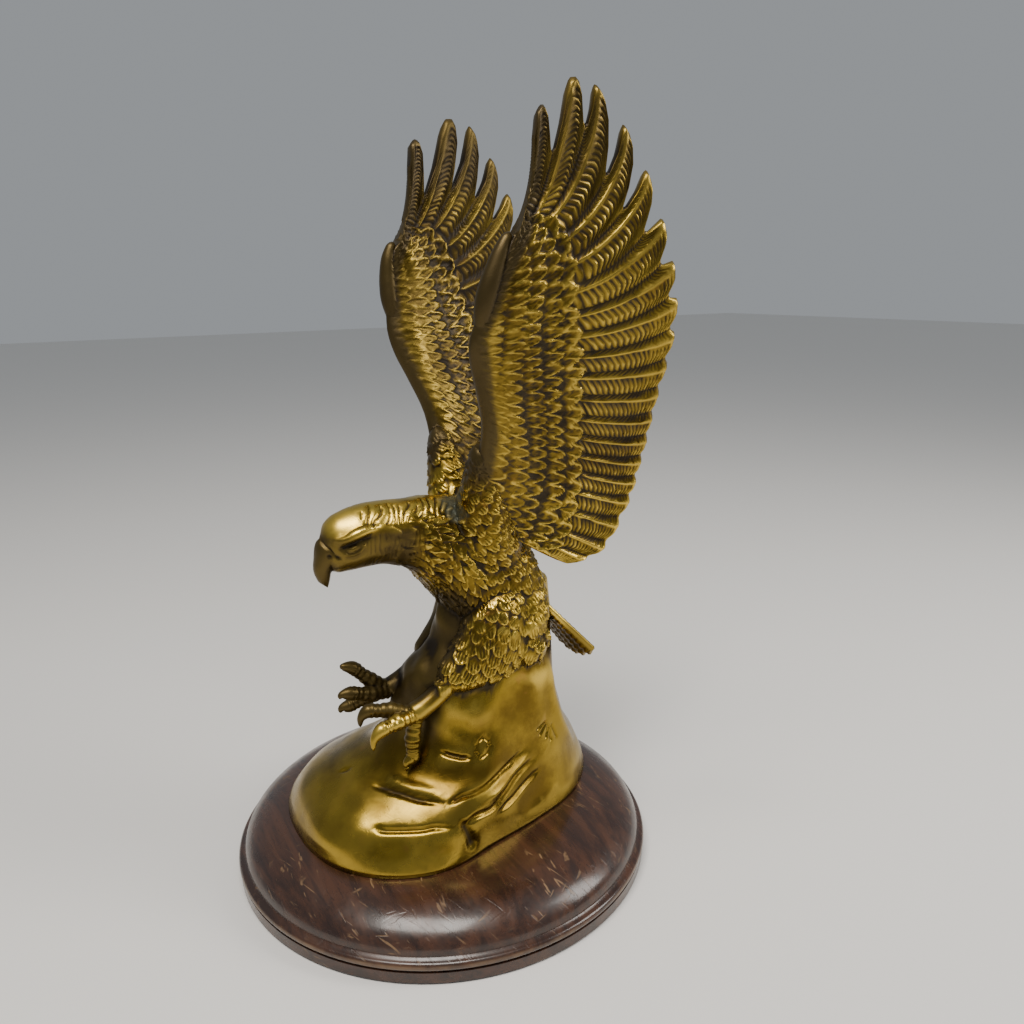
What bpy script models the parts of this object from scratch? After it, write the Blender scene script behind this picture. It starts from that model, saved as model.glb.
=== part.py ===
"""Eagle statue: a cast brass eagle landing on a rock, fixed on a turned wooden plinth.

The frame is in metres: x runs to the bird's left, the bird faces -y, and z is up from the plinth's underside.
"""

from math import pi

import bpy
import numpy as np

# Turned plinth
PLINTH_RADIUS = 0.089
PLINTH_FOOT_RADIUS = 0.0885
PLINTH_TOP = 0.0235
PLINTH_FLAT_RADIUS = 0.058
BEAD_HEIGHT = 0.0072
BEAD_ROUND = 0.0018
BEAD_STEP = 0.0004
FOOT_CHAMFER = 0.0008
DOME_RADIUS = 0.0862
DOME_BASE = 0.0098
PLINTH_STEPS = 48
DOME_STEPS = 6
BEAD_STEPS = 5

# Rock, whose foot follows the plinth with a hair's gap
GAP = 0.0003
ROCK_FOOT = (0.048, 0.049, 0.060, 0.071, 0.066, 0.054, 0.048, 0.058, 0.067, 0.066, 0.066, 0.060)
ROCK_TOP = 0.124
PILLAR_CENTRE = (0.012, 0.020)
PILLAR_HALF_WIDTH = 0.021
PILLAR_HALF_LENGTH = 0.028
ROCK_STEPS = 40
ROCK_FOLD = 0.0012
ROCK_FOLDS_ROUND = 5
ROCK_FOLD_PITCH = 0.105
ROCK_FOLD_FOOT = (0.024, 0.034)
ROCK_FOLD_HEAD = (0.095, 0.070)
UNDER_ROCK_SHARES = (0.84, 0.90, 0.95)

# Bird
BIRD_X = 0.0125
WING_TOP = 0.306
WING_ROOT_SPREAD = 0.0135
WING_TIP_SPREAD = 0.0265
WING_SPREAD_FROM = 0.140
WING_SPREAD_TO = 0.250
WING_FLARE_RATIO = 0.15
WING_FLARE_FROM = 0.005
FEATHERS = 19
FAR_WING_LEAN = 0.008
LEAN_AT_ROOT = (9, 1)
LEAN_AT_TIP = (2.6, 0.8)
ARM_THICKNESS = 0.0075
ARM_EDGE_THICKNESS = 0.0030
FEATHER_THICKNESS = 0.0030
TIP_THICKNESS = 0.0024
RACHIS_RIDGE = 0.0007
COVERT_STEP = 0.0006

# Legs and tail
LEG_SPREAD = 0.013
SHANK_RADIUS = 0.0042
THIGH_DEPTH_RATIO = 1.4
TOE_RADIUS = 0.0030
CLAW_BOW = (0.0, -0.0012, 0.0008)
PALM = (-0.0225, 0.0770)
TAIL_ROOT = (0.0385, 0.1120)
TAIL_RUN = 0.0235
TAIL_DROP = 0.0330
TAIL_ROOT_HALF_WIDTH = 0.0070
TAIL_HALF_WIDTH = 0.0165
TAIL_CURL = 0.0060
TAIL_CROWN = 0.0010
TAIL_SCALLOP = 0.0016
TAIL_THICKNESS = 0.0032
TAIL_RIDGE = 0.0005
TAIL_NORMAL = (0.0, 0.80, 0.60)


def smooth(value, low=0.0, high=1.0):
    """A soft step from 0 at low to 1 at high."""
    part = np.clip((np.asarray(value, float) - low) / (high - low), 0, 1)
    return part * part * (3 - 2 * part)


def through(keys, places):
    """A soft curve through keys, rows of (place, values...), read at the given places."""
    keys = np.asarray(keys, float)
    at, values = keys[:, 0], keys[:, 1:]
    slopes = np.gradient(values, at, axis=0)
    places = np.clip(np.asarray(places, float), at[0], at[-1])
    left = np.clip(np.searchsorted(at, places, side="right") - 1, 0, len(at) - 2)
    width = at[left + 1] - at[left]
    part = ((places - at[left]) / width)[..., None]
    width = width[..., None]
    start = (1 + 2 * part) * (1 - part) ** 2 * values[left] + part * (1 - part) ** 2 * width * slopes[left]
    end = part**2 * (3 - 2 * part) * values[left + 1] - part**2 * (1 - part) * width * slopes[left + 1]
    return start + end


def body_of(name, points, faces):
    """A mesh object from points and faces, turned outwards."""
    mesh = bpy.data.meshes.new(name)
    mesh.from_pydata([tuple(map(float, point)) for point in points], [], faces)
    mesh.validate()
    shape = bpy.data.objects.new(name, mesh)
    bpy.context.scene.collection.objects.link(shape)
    bpy.ops.object.select_all(action="DESELECT")
    bpy.context.view_layer.objects.active = shape
    shape.select_set(True)
    bpy.ops.object.mode_set(mode="EDIT")
    bpy.ops.mesh.select_all(action="SELECT")
    bpy.ops.mesh.normals_make_consistent(inside=False)
    bpy.ops.object.mode_set(mode="OBJECT")
    return shape


def loft(name, rings, start=None, end=None):
    """A closed body through rings of equal count, with a point or a flat fan at each end."""
    rings = np.asarray(rings, float)
    levels, around = rings.shape[:2]
    points = list(rings.reshape(-1, 3))
    points.append(rings[0].mean(axis=0) if start is None else start)
    points.append(rings[-1].mean(axis=0) if end is None else end)
    first, last = levels * around, levels * around + 1
    faces = []
    for level in range(levels - 1):
        for step in range(around):
            turn = (step + 1) % around
            faces.append(
                (
                    level * around + step,
                    level * around + turn,
                    (level + 1) * around + turn,
                    (level + 1) * around + step,
                )
            )
    for step in range(around):
        turn = (step + 1) % around
        faces.append((first, turn, step))
        faces.append((last, (levels - 1) * around + step, (levels - 1) * around + turn))
    return body_of(name, points, faces)


def tube(name, path, radii, around=8, flat=1.0):
    """A limb swept along a path, with a radius at each point and rounded ends."""
    path = np.asarray(path, float)
    radii = np.asarray(radii, float)
    along = np.gradient(path, axis=0)
    along /= np.linalg.norm(along, axis=1)[:, None]
    side = np.cross(along, (0.0, 0.05, 1.0))
    side /= np.linalg.norm(side, axis=1)[:, None]
    up = np.cross(side, along)
    angle = np.linspace(0, 2 * pi, around, endpoint=False)
    rings = (
        path[:, None]
        + radii[:, None, None] * np.cos(angle)[None, :, None] * side[:, None]
        + radii[:, None, None] * flat * np.sin(angle)[None, :, None] * up[:, None]
    )
    start = path[0] - along[0] * radii[0] * 0.5
    end = path[-1] + along[-1] * radii[-1] * 0.5
    return loft(name, rings, start, end)


def sheet(name, front, back):
    """A thin closed body between two grids of points that share their layout."""
    rows, columns = front.shape[:2]
    points = np.concatenate([front.reshape(-1, 3), back.reshape(-1, 3)])
    offset = rows * columns
    faces = []
    for row in range(rows - 1):
        for column in range(columns - 1):
            corner = row * columns + column
            quad = (corner, corner + 1, corner + columns + 1, corner + columns)
            faces.append(quad)
            faces.append(tuple(offset + index for index in reversed(quad)))
    rim = [column for column in range(columns)]
    rim += [row * columns + columns - 1 for row in range(1, rows)]
    rim += [(rows - 1) * columns + column for column in range(columns - 2, -1, -1)]
    rim += [row * columns for row in range(rows - 2, 0, -1)]
    for here, there in zip(rim, rim[1:] + rim[:1]):
        faces.append((there, here, offset + here, offset + there))
    return body_of(name, points, faces)


def material_of(name, colour, metallic, roughness):
    material = bpy.data.materials.new(name)
    material.use_nodes = True
    shader = material.node_tree.nodes["Principled BSDF"]
    shader.inputs["Base Color"].default_value = (*colour, 1)
    shader.inputs["Metallic"].default_value = metallic
    shader.inputs["Roughness"].default_value = roughness
    return material


def finish(shape, material, angle):
    """Gives a sub-part its material and its soft shading."""
    shape.data.materials.clear()
    shape.data.materials.append(material)
    shape.data.shade_smooth()
    shape.data.set_sharp_from_angle(angle=angle)


def dome_height(radius):
    """The plinth's top surface at a distance from its axis."""
    part = np.clip((np.asarray(radius, float) - PLINTH_FLAT_RADIUS) / (DOME_RADIUS - PLINTH_FLAT_RADIUS), 0, 1)
    return DOME_BASE + (PLINTH_TOP - DOME_BASE) * np.sqrt(1 - part**2)


def build_plinth():
    """The turned base: a foot, a raised bead and a quarter-round dome."""
    profile = [(PLINTH_TOP, 0.0)]
    for turn in np.linspace(0, pi / 2, DOME_STEPS):
        radius = PLINTH_FLAT_RADIUS + (DOME_RADIUS - PLINTH_FLAT_RADIUS) * np.sin(turn)
        profile.append((float(dome_height(radius)), float(radius)))
    bead_radius = PLINTH_RADIUS - BEAD_ROUND
    for turn in np.linspace(pi / 2, -pi / 2, BEAD_STEPS):
        profile.append((BEAD_HEIGHT + BEAD_ROUND * np.sin(turn), bead_radius + BEAD_ROUND * np.cos(turn)))
    profile.append((BEAD_HEIGHT - BEAD_ROUND - BEAD_STEP, PLINTH_FOOT_RADIUS))
    profile.append((FOOT_CHAMFER, PLINTH_FOOT_RADIUS))
    profile.append((0.0, PLINTH_FOOT_RADIUS - FOOT_CHAMFER))
    angle = np.linspace(0, 2 * pi, PLINTH_STEPS, endpoint=False)
    rings = [
        np.stack([radius * np.cos(angle), radius * np.sin(angle), np.full(PLINTH_STEPS, height)], axis=1)
        for height, radius in profile[1:]
    ]
    return loft("plinth", rings, (0, 0, PLINTH_TOP), (0, 0, 0))


# The rock from its foot up: height, how far it has drawn in towards the pillar in front and behind, pillar width
ROCK_LEVELS = (
    (0.0245, 0.00, 0.00, 1.00),
    (0.0300, 0.02, 0.12, 1.00),
    (0.0380, 0.10, 0.29, 1.00),
    (0.0460, 0.33, 0.46, 1.00),
    (0.0520, 0.53, 0.62, 1.00),
    (0.0580, 0.64, 0.74, 1.00),
    (0.0660, 0.71, 0.87, 1.00),
    (0.0760, 0.75, 0.97, 1.00),
    (0.0880, 0.83, 1.02, 0.96),
    (0.1000, 1.00, 1.06, 0.84),
    (0.1120, 1.04, 1.08, 0.72),
    (ROCK_TOP, 1.08, 1.12, 0.58),
)


def rock_foot(angle):
    """The rock's reach from the plinth's axis in each direction."""
    count = len(ROCK_FOOT)
    keys = [(turn, ROCK_FOOT[turn % count]) for turn in range(-2, count + 3)]
    return through(keys, np.mod(angle, 2 * pi) * count / (2 * pi))[..., 0]


def build_rock():
    """The rock: a broad low mound in front, gathered into a pillar under the bird."""
    angle = np.linspace(0, 2 * pi, ROCK_STEPS, endpoint=False)
    foot = rock_foot(angle)[:, None] * np.stack([np.cos(angle), np.sin(angle)], axis=1)
    pillar = np.stack(
        [
            PILLAR_CENTRE[0] + PILLAR_HALF_WIDTH * np.cos(angle),
            PILLAR_CENTRE[1] + PILLAR_HALF_LENGTH * np.sin(angle),
        ],
        axis=1,
    )
    frontness = ((1 - np.sin(angle)) / 2) ** 2
    rings = []
    for height, front, back, width in ROCK_LEVELS:
        share = back + (front - back) * frontness
        place = foot + (pillar - foot) * share[:, None]
        place[:, 0] = PILLAR_CENTRE[0] + (place[:, 0] - PILLAR_CENTRE[0]) * width
        fold = ROCK_FOLD * np.sin(ROCK_FOLDS_ROUND * angle + 2 * pi * height / ROCK_FOLD_PITCH)
        fold = fold * smooth(height, *ROCK_FOLD_FOOT) * smooth(height, *ROCK_FOLD_HEAD)
        place = place * (1 + fold / np.linalg.norm(place, axis=1))[:, None]
        level = np.full(ROCK_STEPS, height)
        if not rings:
            level = dome_height(np.linalg.norm(place, axis=1)) + GAP
        rings.append(np.column_stack([place, level]))
    under = []
    for share in UNDER_ROCK_SHARES:
        inner = foot * share
        under.append(np.column_stack([inner, dome_height(np.linalg.norm(inner, axis=1)) + GAP]))
    return loft("rock", [*under, *rings], (0, 0, PLINTH_TOP + GAP))


def wing_sheet_x(back, up):
    """How far a wing stands from the bird's middle, at a place seen from the side."""
    spread = WING_ROOT_SPREAD + WING_TIP_SPREAD * smooth(up, WING_SPREAD_FROM, WING_SPREAD_TO)
    return spread + WING_FLARE_RATIO * np.maximum(back - WING_FLARE_FROM, 0)


# Feather tips, starts and bends seen from the side: feather number, back, up
TIPS = (
    (0.3, 0.0150, 0.2900),
    (1, 0.0180, 0.2960),
    (2, 0.0300, WING_TOP),
    (3, 0.0390, 0.3035),
    (4, 0.0500, 0.2910),
    (5, 0.0590, 0.2765),
    (6, 0.0660, 0.2600),
    (8, 0.0735, 0.2325),
    (11, 0.0740, 0.1980),
    (14, 0.0740, 0.1700),
    (16, 0.0715, 0.1525),
    (18, 0.0605, 0.1335),
    (19.5, 0.0460, 0.1290),
)
STARTS = (
    (0.3, 0.0090, 0.2570),
    (2, 0.0050, 0.2500),
    (4, 0.0005, 0.2415),
    (6, -0.0030, 0.2325),
    (8, -0.0060, 0.2225),
    (10, -0.0048, 0.2140),
    (12, -0.0010, 0.2040),
    (15, 0.0040, 0.1870),
    (17, 0.0040, 0.1720),
    (19.5, 0.0040, 0.1560),
)
BENDS = (
    (0.3, 0.0155, 0.2685),
    (1, 0.0195, 0.2715),
    (1.5, 0.0250, 0.2690),
    (2, 0.0310, 0.2695),
    (2.5, 0.0378, 0.2705),
    (3, 0.0440, 0.2670),
    (3.5, 0.0495, 0.2620),
    (4, 0.0518, 0.2560),
    (5, 0.0540, 0.2440),
    (6, 0.0525, 0.2315),
    (7, 0.0540, 0.2230),
    (8, 0.0560, 0.2155),
    (9, 0.0560, 0.2075),
    (11, 0.0550, 0.1895),
    (14, 0.0550, 0.1655),
    (16, 0.0530, 0.1510),
    (18, 0.0450, 0.1368),
    (19.5, 0.0340, 0.1335),
)
# How deep the cut between feathers goes, as a share of their length: feather number, share
NEAR_NOTCHES = (
    (0.3, 0.05),
    (1.5, 0.31),
    (2.5, 0.22),
    (3.5, 0.30),
    (4.5, 0.28),
    (5.5, 0.17),
    (6.5, 0.11),
    (8, 0.07),
    (19.5, 0.05),
)
FAR_NOTCHES = (
    (0.3, 0.05),
    (1.5, 0.44),
    (2.5, 0.40),
    (3.5, 0.33),
    (4.5, 0.26),
    (5.5, 0.17),
    (6.5, 0.11),
    (8, 0.07),
    (19.5, 0.05),
)
VANE_OFFSET = 0.33
VANE_NOTCH = 0.12
WING_ROWS = (0, 0.06, 0.16, 0.30, 0.44, 0.60, 0.80, 1.0)
ARM_ROWS = (0.30, 0.08)
COVERT_ROWS = (0.5, 0.4)
RACHIS_ROWS = (0.40, 0.50)


def feather_line(number, reach):
    """A place on a wing seen from the side: along feather number, at a share of its length."""
    start, bend, tip = (through(keys, number) for keys in (STARTS, BENDS, TIPS))
    reach = reach[..., None]
    return (1 - reach) ** 2 * start + 2 * reach * (1 - reach) * bend + reach**2 * tip


def build_wing(name, side):
    """One raised wing: a thick arm in front, rows of coverts and a fan of flight feathers."""
    offsets = []
    for number in range(1, FEATHERS + 1):
        offsets += [number - 0.5, number - VANE_OFFSET, number, number + VANE_OFFSET]
    offsets.append(FEATHERS + 0.5)
    number = np.array(offsets)
    reach = np.array(WING_ROWS)
    away = np.abs(number - np.round(number)) * 2
    away[np.isclose(np.mod(number, 1), 0.5)] = 1
    notches = FAR_NOTCHES if side < 0 else NEAR_NOTCHES
    notch = through(notches, number)[:, 0] * np.where(away > 0.9, 1, np.where(away > 0.4, VANE_NOTCH, 0))
    number_grid, reach_grid = np.meshgrid(number, reach)
    place = feather_line(number_grid, reach_grid * (1 - notch))
    lean = FAR_WING_LEAN if side < 0 else 0
    share = (1 - reach_grid) * smooth(number_grid, *LEAN_AT_ROOT)
    share = share + reach_grid * smooth(number_grid, *LEAN_AT_TIP)
    back = place[..., 0] - lean * share
    up = place[..., 1]
    middle = np.stack([wing_sheet_x(back, up), back, up], axis=-1)
    across = np.cross(np.gradient(middle, axis=0), np.gradient(middle, axis=1))
    across /= np.linalg.norm(across, axis=-1)[..., None]
    across *= np.where(across[..., :1] < 0, -1, 1)
    thick = FEATHER_THICKNESS + (TIP_THICKNESS - FEATHER_THICKNESS) * reach_grid
    thick = thick + (ARM_THICKNESS - FEATHER_THICKNESS) * smooth(reach_grid, *ARM_ROWS)
    leading = (reach_grid == reach[0]) | (number_grid == number[0])
    thick = np.where(leading, np.minimum(thick, ARM_EDGE_THICKNESS), thick)
    ridge = RACHIS_RIDGE * (np.cos(pi * away) * smooth(reach_grid, *RACHIS_ROWS))
    covert = COVERT_STEP * np.where((np.arange(len(reach)) % 2 == 0)[:, None], 1.0, -0.3)
    ridge = ridge + covert * smooth(reach_grid, *COVERT_ROWS) * (reach_grid > reach[0])
    outer = middle + across * (thick / 2 + ridge)[..., None]
    inner = middle - across * (thick / 2 + ridge)[..., None]
    for grid in (outer, inner):
        grid[..., 0] = BIRD_X + side * grid[..., 0]
    return sheet(name, outer, inner)


# The bird's trunk in upright slices: back, middle height, half width, half height
TRUNK = (
    (-0.0508, 0.1480, 0.0035, 0.0050),
    (-0.0495, 0.1478, 0.0065, 0.0082),
    (-0.0475, 0.1478, 0.0084, 0.0102),
    (-0.0430, 0.1486, 0.0100, 0.0114),
    (-0.0360, 0.1496, 0.0110, 0.0121),
    (-0.0270, 0.1496, 0.0113, 0.0124),
    (-0.0180, 0.1477, 0.0122, 0.0138),
    (-0.0090, 0.1428, 0.0147, 0.0188),
    (0.0020, 0.1340, 0.0175, 0.0250),
    (0.0140, 0.1270, 0.0190, 0.0285),
    (0.0260, 0.1215, 0.0185, 0.0258),
    (0.0340, 0.1160, 0.0155, 0.0205),
    (0.0395, 0.1110, 0.0115, 0.0145),
    (0.0425, 0.1070, 0.0065, 0.0085),
)
TRUNK_AROUND = 16


def build_trunk():
    angle = np.linspace(0, 2 * pi, TRUNK_AROUND, endpoint=False)
    rings = []
    for back, height, half_width, half_height in TRUNK:
        ring = np.column_stack(
            [
                BIRD_X + half_width * np.cos(angle),
                np.full(TRUNK_AROUND, back),
                height + half_height * np.sin(angle),
            ]
        )
        rings.append(ring)
    return loft("trunk", rings)


# The beak from the face to its hooked tip: back, up, half width, half height
BEAK = (
    (-0.0455, 0.1462, 0.0068, 0.0090),
    (-0.0485, 0.1450, 0.0060, 0.0066),
    (-0.0507, 0.1420, 0.0048, 0.0040),
    (-0.0515, 0.1385, 0.0036, 0.0034),
    (-0.0512, 0.1345, 0.0022, 0.0022),
)
BEAK_TIP = (-0.0499, 0.1312)


def build_beak():
    stations = np.array(BEAK)
    centres = np.column_stack([np.full(len(stations), BIRD_X), stations[:, 0], stations[:, 1]])
    along = np.gradient(centres, axis=0)
    along /= np.linalg.norm(along, axis=1)[:, None]
    up = np.cross(along, (1.0, 0.0, 0.0))
    angle = np.linspace(0, 2 * pi, 10, endpoint=False)
    rings = [
        centre + half_width * np.cos(angle)[:, None] * (1, 0, 0) + half_height * np.sin(angle)[:, None] * rise
        for centre, rise, (half_width, half_height) in zip(centres, up, stations[:, 2:])
    ]
    return loft("beak", rings, end=(BIRD_X, *BEAK_TIP))


# The brow's overhang from the beak back over the eye: sideways, back, up
BROW = (
    (0.0062, -0.0490, 0.1515),
    (0.0083, -0.0460, 0.1513),
    (0.0092, -0.0435, 0.1518),
    (0.0098, -0.0405, 0.1532),
    (0.0100, -0.0360, 0.1545),
    (0.0098, -0.0300, 0.1545),
)


def build_brow(side):
    path = [(BIRD_X + side * sideways, back, up) for sideways, back, up in BROW]
    return tube("brow", path, (0.0008, 0.0014, 0.0018, 0.0020, 0.0016, 0.0006), around=6)


def build_shoulder(side):
    """The upper arm, rising out of the back into the front of a wing."""
    path = [
        (BIRD_X + side * 0.0040, 0.0180, 0.1300),
        (BIRD_X + side * 0.0085, 0.0130, 0.1430),
        (BIRD_X + side * 0.0125, 0.0095, 0.1560),
        (BIRD_X + side * 0.0160, 0.0080, 0.1700),
        (BIRD_X + side * 0.0200, 0.0065, 0.1840),
    ]
    return tube("shoulder", path, (0.0130, 0.0130, 0.0100, 0.0065, 0.0035), around=12)


# The thumb feather along the hand: back, up, and its share of the far wing's lean
ALULA = (
    (-0.0020, 0.2240, 0.0),
    (-0.0010, 0.2360, 0.3),
    (0.0035, 0.2490, 0.8),
    (0.0075, 0.2575, 1.0),
)


def build_alula(side):
    """The thumb feather: a smooth bar along the hand, free at its tip."""
    lean = FAR_WING_LEAN if side < 0 else 0
    path = []
    for back, up, share in ALULA:
        x = wing_sheet_x(back, up)
        path.append((BIRD_X + side * float(x), back - lean * share, up))
    return tube("alula", path, (0.0022, 0.0036, 0.0030, 0.0014), around=8)


def build_thigh(side):
    """A feathered thigh, from the hip down and forward to the knee."""
    x = BIRD_X + side * LEG_SPREAD
    path = [
        (x - side * 0.006, 0.0240, 0.1200),
        (x - side * 0.001, 0.0170, 0.1080),
        (x, 0.0100, 0.0975),
        (x, 0.0005, 0.0905),
        (x, -0.0090, 0.0855),
    ]
    return tube("thigh", path, (0.0090, 0.0110, 0.0102, 0.0078, 0.0052), around=12, flat=THIGH_DEPTH_RATIO)


def build_shank(side):
    x = BIRD_X + side * LEG_SPREAD
    path = [(x, 0.0020, 0.0890), (x, -0.0090, 0.0850), (x, -0.0180, 0.0800), (x, -0.0245, 0.0770)]
    return tube("shank", path, (0.0050, SHANK_RADIUS, SHANK_RADIUS, 0.0046), around=8)


# Toes from the palm: sideways, forward and up at the first joint, the last joint and the claw's tip
NEAR_TOES = (
    ((0.0035, 0.0090, 0.0010), (0.0055, 0.0165, 0.0005), (0.0065, 0.0205, -0.0065)),
    ((-0.0025, 0.0095, 0.0035), (-0.0035, 0.0180, 0.0050), (-0.0040, 0.0215, -0.0010)),
    ((0.0010, 0.0020, -0.0095), (0.0015, 0.0025, -0.0170), (0.0015, 0.0055, -0.0225)),
)
FAR_TOES = (
    ((0.0000, 0.0085, 0.0065), (0.0000, 0.0155, 0.0135), (-0.0005, 0.0210, 0.0150)),
    ((-0.0035, 0.0100, 0.0020), (-0.0055, 0.0190, 0.0055), (-0.0060, 0.0240, 0.0045)),
    ((0.0030, 0.0090, -0.0025), (0.0045, 0.0165, -0.0050), (0.0050, 0.0205, -0.0075)),
)


def build_toe(side, joints):
    palm = np.array([BIRD_X + side * LEG_SPREAD, *PALM])
    first, last, claw = (palm + (side * sideways, -forward, up) for sideways, forward, up in joints)
    bowed = (last + claw) / 2 + CLAW_BOW
    path = [palm, (palm + first) / 2, first, (first + last) / 2, last, bowed, claw]
    radii = TOE_RADIUS * np.array((1.3, 1.0, 1.1, 0.9, 0.95, 0.55, 0.2))
    return tube("toe", path, radii, around=6)


def build_tail():
    """The tail: a thin fan of feathers pointing down and back."""
    lengthwise = np.linspace(0, 1, 5)
    crosswise = np.linspace(-1, 1, 13)
    share, place = np.meshgrid(lengthwise, crosswise, indexing="ij")
    half_width = TAIL_ROOT_HALF_WIDTH + (TAIL_HALF_WIDTH - TAIL_ROOT_HALF_WIDTH) * share
    scallop = TAIL_SCALLOP * np.abs(np.cos(place * 3 * pi)) * share
    x = BIRD_X + half_width * place
    y = TAIL_ROOT[0] + TAIL_RUN * share - TAIL_CROWN * share * place**2
    z = TAIL_ROOT[1] - TAIL_DROP * share + TAIL_CURL * place**2 * share + scallop
    normal = np.array(TAIL_NORMAL)
    ridge = TAIL_RIDGE * np.cos(place * 6 * pi) * share
    half = (TAIL_THICKNESS / 2 + ridge)[..., None]
    middle = np.stack([x, y, z], axis=-1)
    return sheet("tail", middle + normal * half, middle - normal * half)


def join(name, shapes):
    """Unites overlapping bodies into one casting."""
    casting = shapes[0]
    casting.name = name
    for shape in shapes[1:]:
        union = casting.modifiers.new("Joined " + shape.name, "BOOLEAN")
        union.operation = "UNION"
        union.solver = "EXACT"
        union.object = shape
        shape.hide_render = True
        shape.display_type = "WIRE"
    return casting


def main():
    for shape in list(bpy.data.objects):
        bpy.data.objects.remove(shape)
    plinth = build_plinth()
    finish(plinth, material_of("Lacquered wood", (0.050, 0.017, 0.010), 0.0, 0.35), 0.6)
    shapes = [build_trunk(), build_rock(), build_beak(), build_tail()]
    for side, toes in ((1, NEAR_TOES), (-1, FAR_TOES)):
        shapes += [build_shoulder(side), build_wing("wing", side), build_brow(side)]
        shapes += [build_alula(side), build_thigh(side), build_shank(side)]
        shapes += [build_toe(side, joints) for joints in toes]
    eagle = join("eagle", shapes)
    finish(eagle, material_of("Brass", (0.52, 0.36, 0.10), 1.0, 0.32), 0.7)


main()
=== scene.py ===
from math import pi, radians

import bpy
import numpy as np
from mathutils import Matrix, kdtree


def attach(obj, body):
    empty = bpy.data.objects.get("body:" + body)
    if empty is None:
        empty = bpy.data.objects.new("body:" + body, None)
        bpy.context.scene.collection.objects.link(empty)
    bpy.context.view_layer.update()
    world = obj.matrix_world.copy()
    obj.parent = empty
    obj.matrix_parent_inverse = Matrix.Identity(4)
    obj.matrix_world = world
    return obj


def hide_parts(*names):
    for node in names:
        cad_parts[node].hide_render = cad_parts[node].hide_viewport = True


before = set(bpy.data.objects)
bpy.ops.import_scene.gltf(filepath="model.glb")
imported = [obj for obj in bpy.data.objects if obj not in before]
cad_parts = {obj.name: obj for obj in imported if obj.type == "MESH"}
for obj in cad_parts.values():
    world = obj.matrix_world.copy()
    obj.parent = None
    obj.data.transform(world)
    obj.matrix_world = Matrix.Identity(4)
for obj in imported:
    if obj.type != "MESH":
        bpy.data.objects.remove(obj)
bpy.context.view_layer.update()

# The plinth: one disc of hardwood turned on a lathe, with a quarter-round dome and a bead round its
# foot, stained dark red-brown and lacquered. It has been scratched, and the bead is rubbed bare.
PLINTH_RADIUS = 0.089
PLINTH_FOOT_RADIUS = 0.0885
PLINTH_TOP = 0.0235
PLINTH_FLAT_RADIUS = 0.058
BEAD_HEIGHT = 0.0072
BEAD_ROUND = 0.0018
BEAD_STEP = 0.0004
FOOT_CHAMFER = 0.0008
DOME_RADIUS = 0.0862
DOME_BASE = 0.0098
PLINTH_SIDES = 160
LACQUER = (0.024, 0.01, 0.006, 1)
LACQUER_LIGHT = (0.064, 0.025, 0.012, 1)
BARE_WOOD = (0.24, 0.14, 0.062, 1)
DARK_PORE = (0.012, 0.005, 0.003, 1)
GRAIN_TURN = (0, 0, 0.35)
GRAIN_FINENESS = (18, 170, 170)
PORE_FINENESS = (90, 900, 900)
BARE_RIM = 0.0005
# Runs of hairline scratches: their turn, and a mark's size sideways, back and up in metres
SCRATCH_RUNS = (
    (0.5, (0.0091, 0.0006, 0.0042)),
    (2.2, (0.0005, 0.01, 0.0033)),
    (-0.7, (0.0067, 0.0042, 0.0006)),
)


def add_node(tree, kind, values=(), **settings):
    """A shader node with its settings, its inputs set to values or linked to other nodes' outputs."""
    made = tree.nodes.new("ShaderNode" + kind)
    for name, value in settings.items():
        setattr(made, name, value)
    for name, value in dict(values).items():
        if isinstance(value, bpy.types.NodeSocket):
            tree.links.new(value, made.inputs[name])
        else:
            made.inputs[name].default_value = value
    return made


def mixed(tree, share, first, second):
    """A colour between two colours."""
    made = add_node(tree, "Mix", {0: share, 6: first, 7: second}, data_type="RGBA")
    return made.outputs[2]


def ranged(tree, value, low, high, to_low=0.0, to_high=1.0):
    """A value brought from one range to another, with soft ends."""
    values = {"Value": value, "From Min": low, "From Max": high, "To Min": to_low, "To Max": to_high}
    return add_node(tree, "MapRange", values, interpolation_type="SMOOTHSTEP").outputs[0]


def combined(tree, operation, first, second):
    return add_node(tree, "Math", {0: first, 1: second}, operation=operation).outputs[0]


def times(tree, first, second):
    return combined(tree, "MULTIPLY", first, second)


def noise(tree, place, scale, detail, roughness=0.5, distortion=0.0):
    """A soft random pattern over the surface."""
    values = {"Vector": place, "Scale": scale, "Detail": detail, "Roughness": roughness}
    return add_node(tree, "TexNoise", {**values, "Distortion": distortion}).outputs[0]


def new_material(name):
    """A material, its node tree, its shader and the place on the piece that its patterns are laid by."""
    made = bpy.data.materials.new(name)
    made.use_nodes = True
    tree = made.node_tree
    return made, tree, tree.nodes["Principled BSDF"], add_node(tree, "TexCoord").outputs["Object"]


def dome_height(radius):
    """The plinth's top surface at a distance from its axis."""
    part = (np.asarray(radius, float) - PLINTH_FLAT_RADIUS) / (DOME_RADIUS - PLINTH_FLAT_RADIUS)
    part = np.clip(part, 0, 1)
    return DOME_BASE + (PLINTH_TOP - DOME_BASE) * np.sqrt(1 - part**2)


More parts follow.
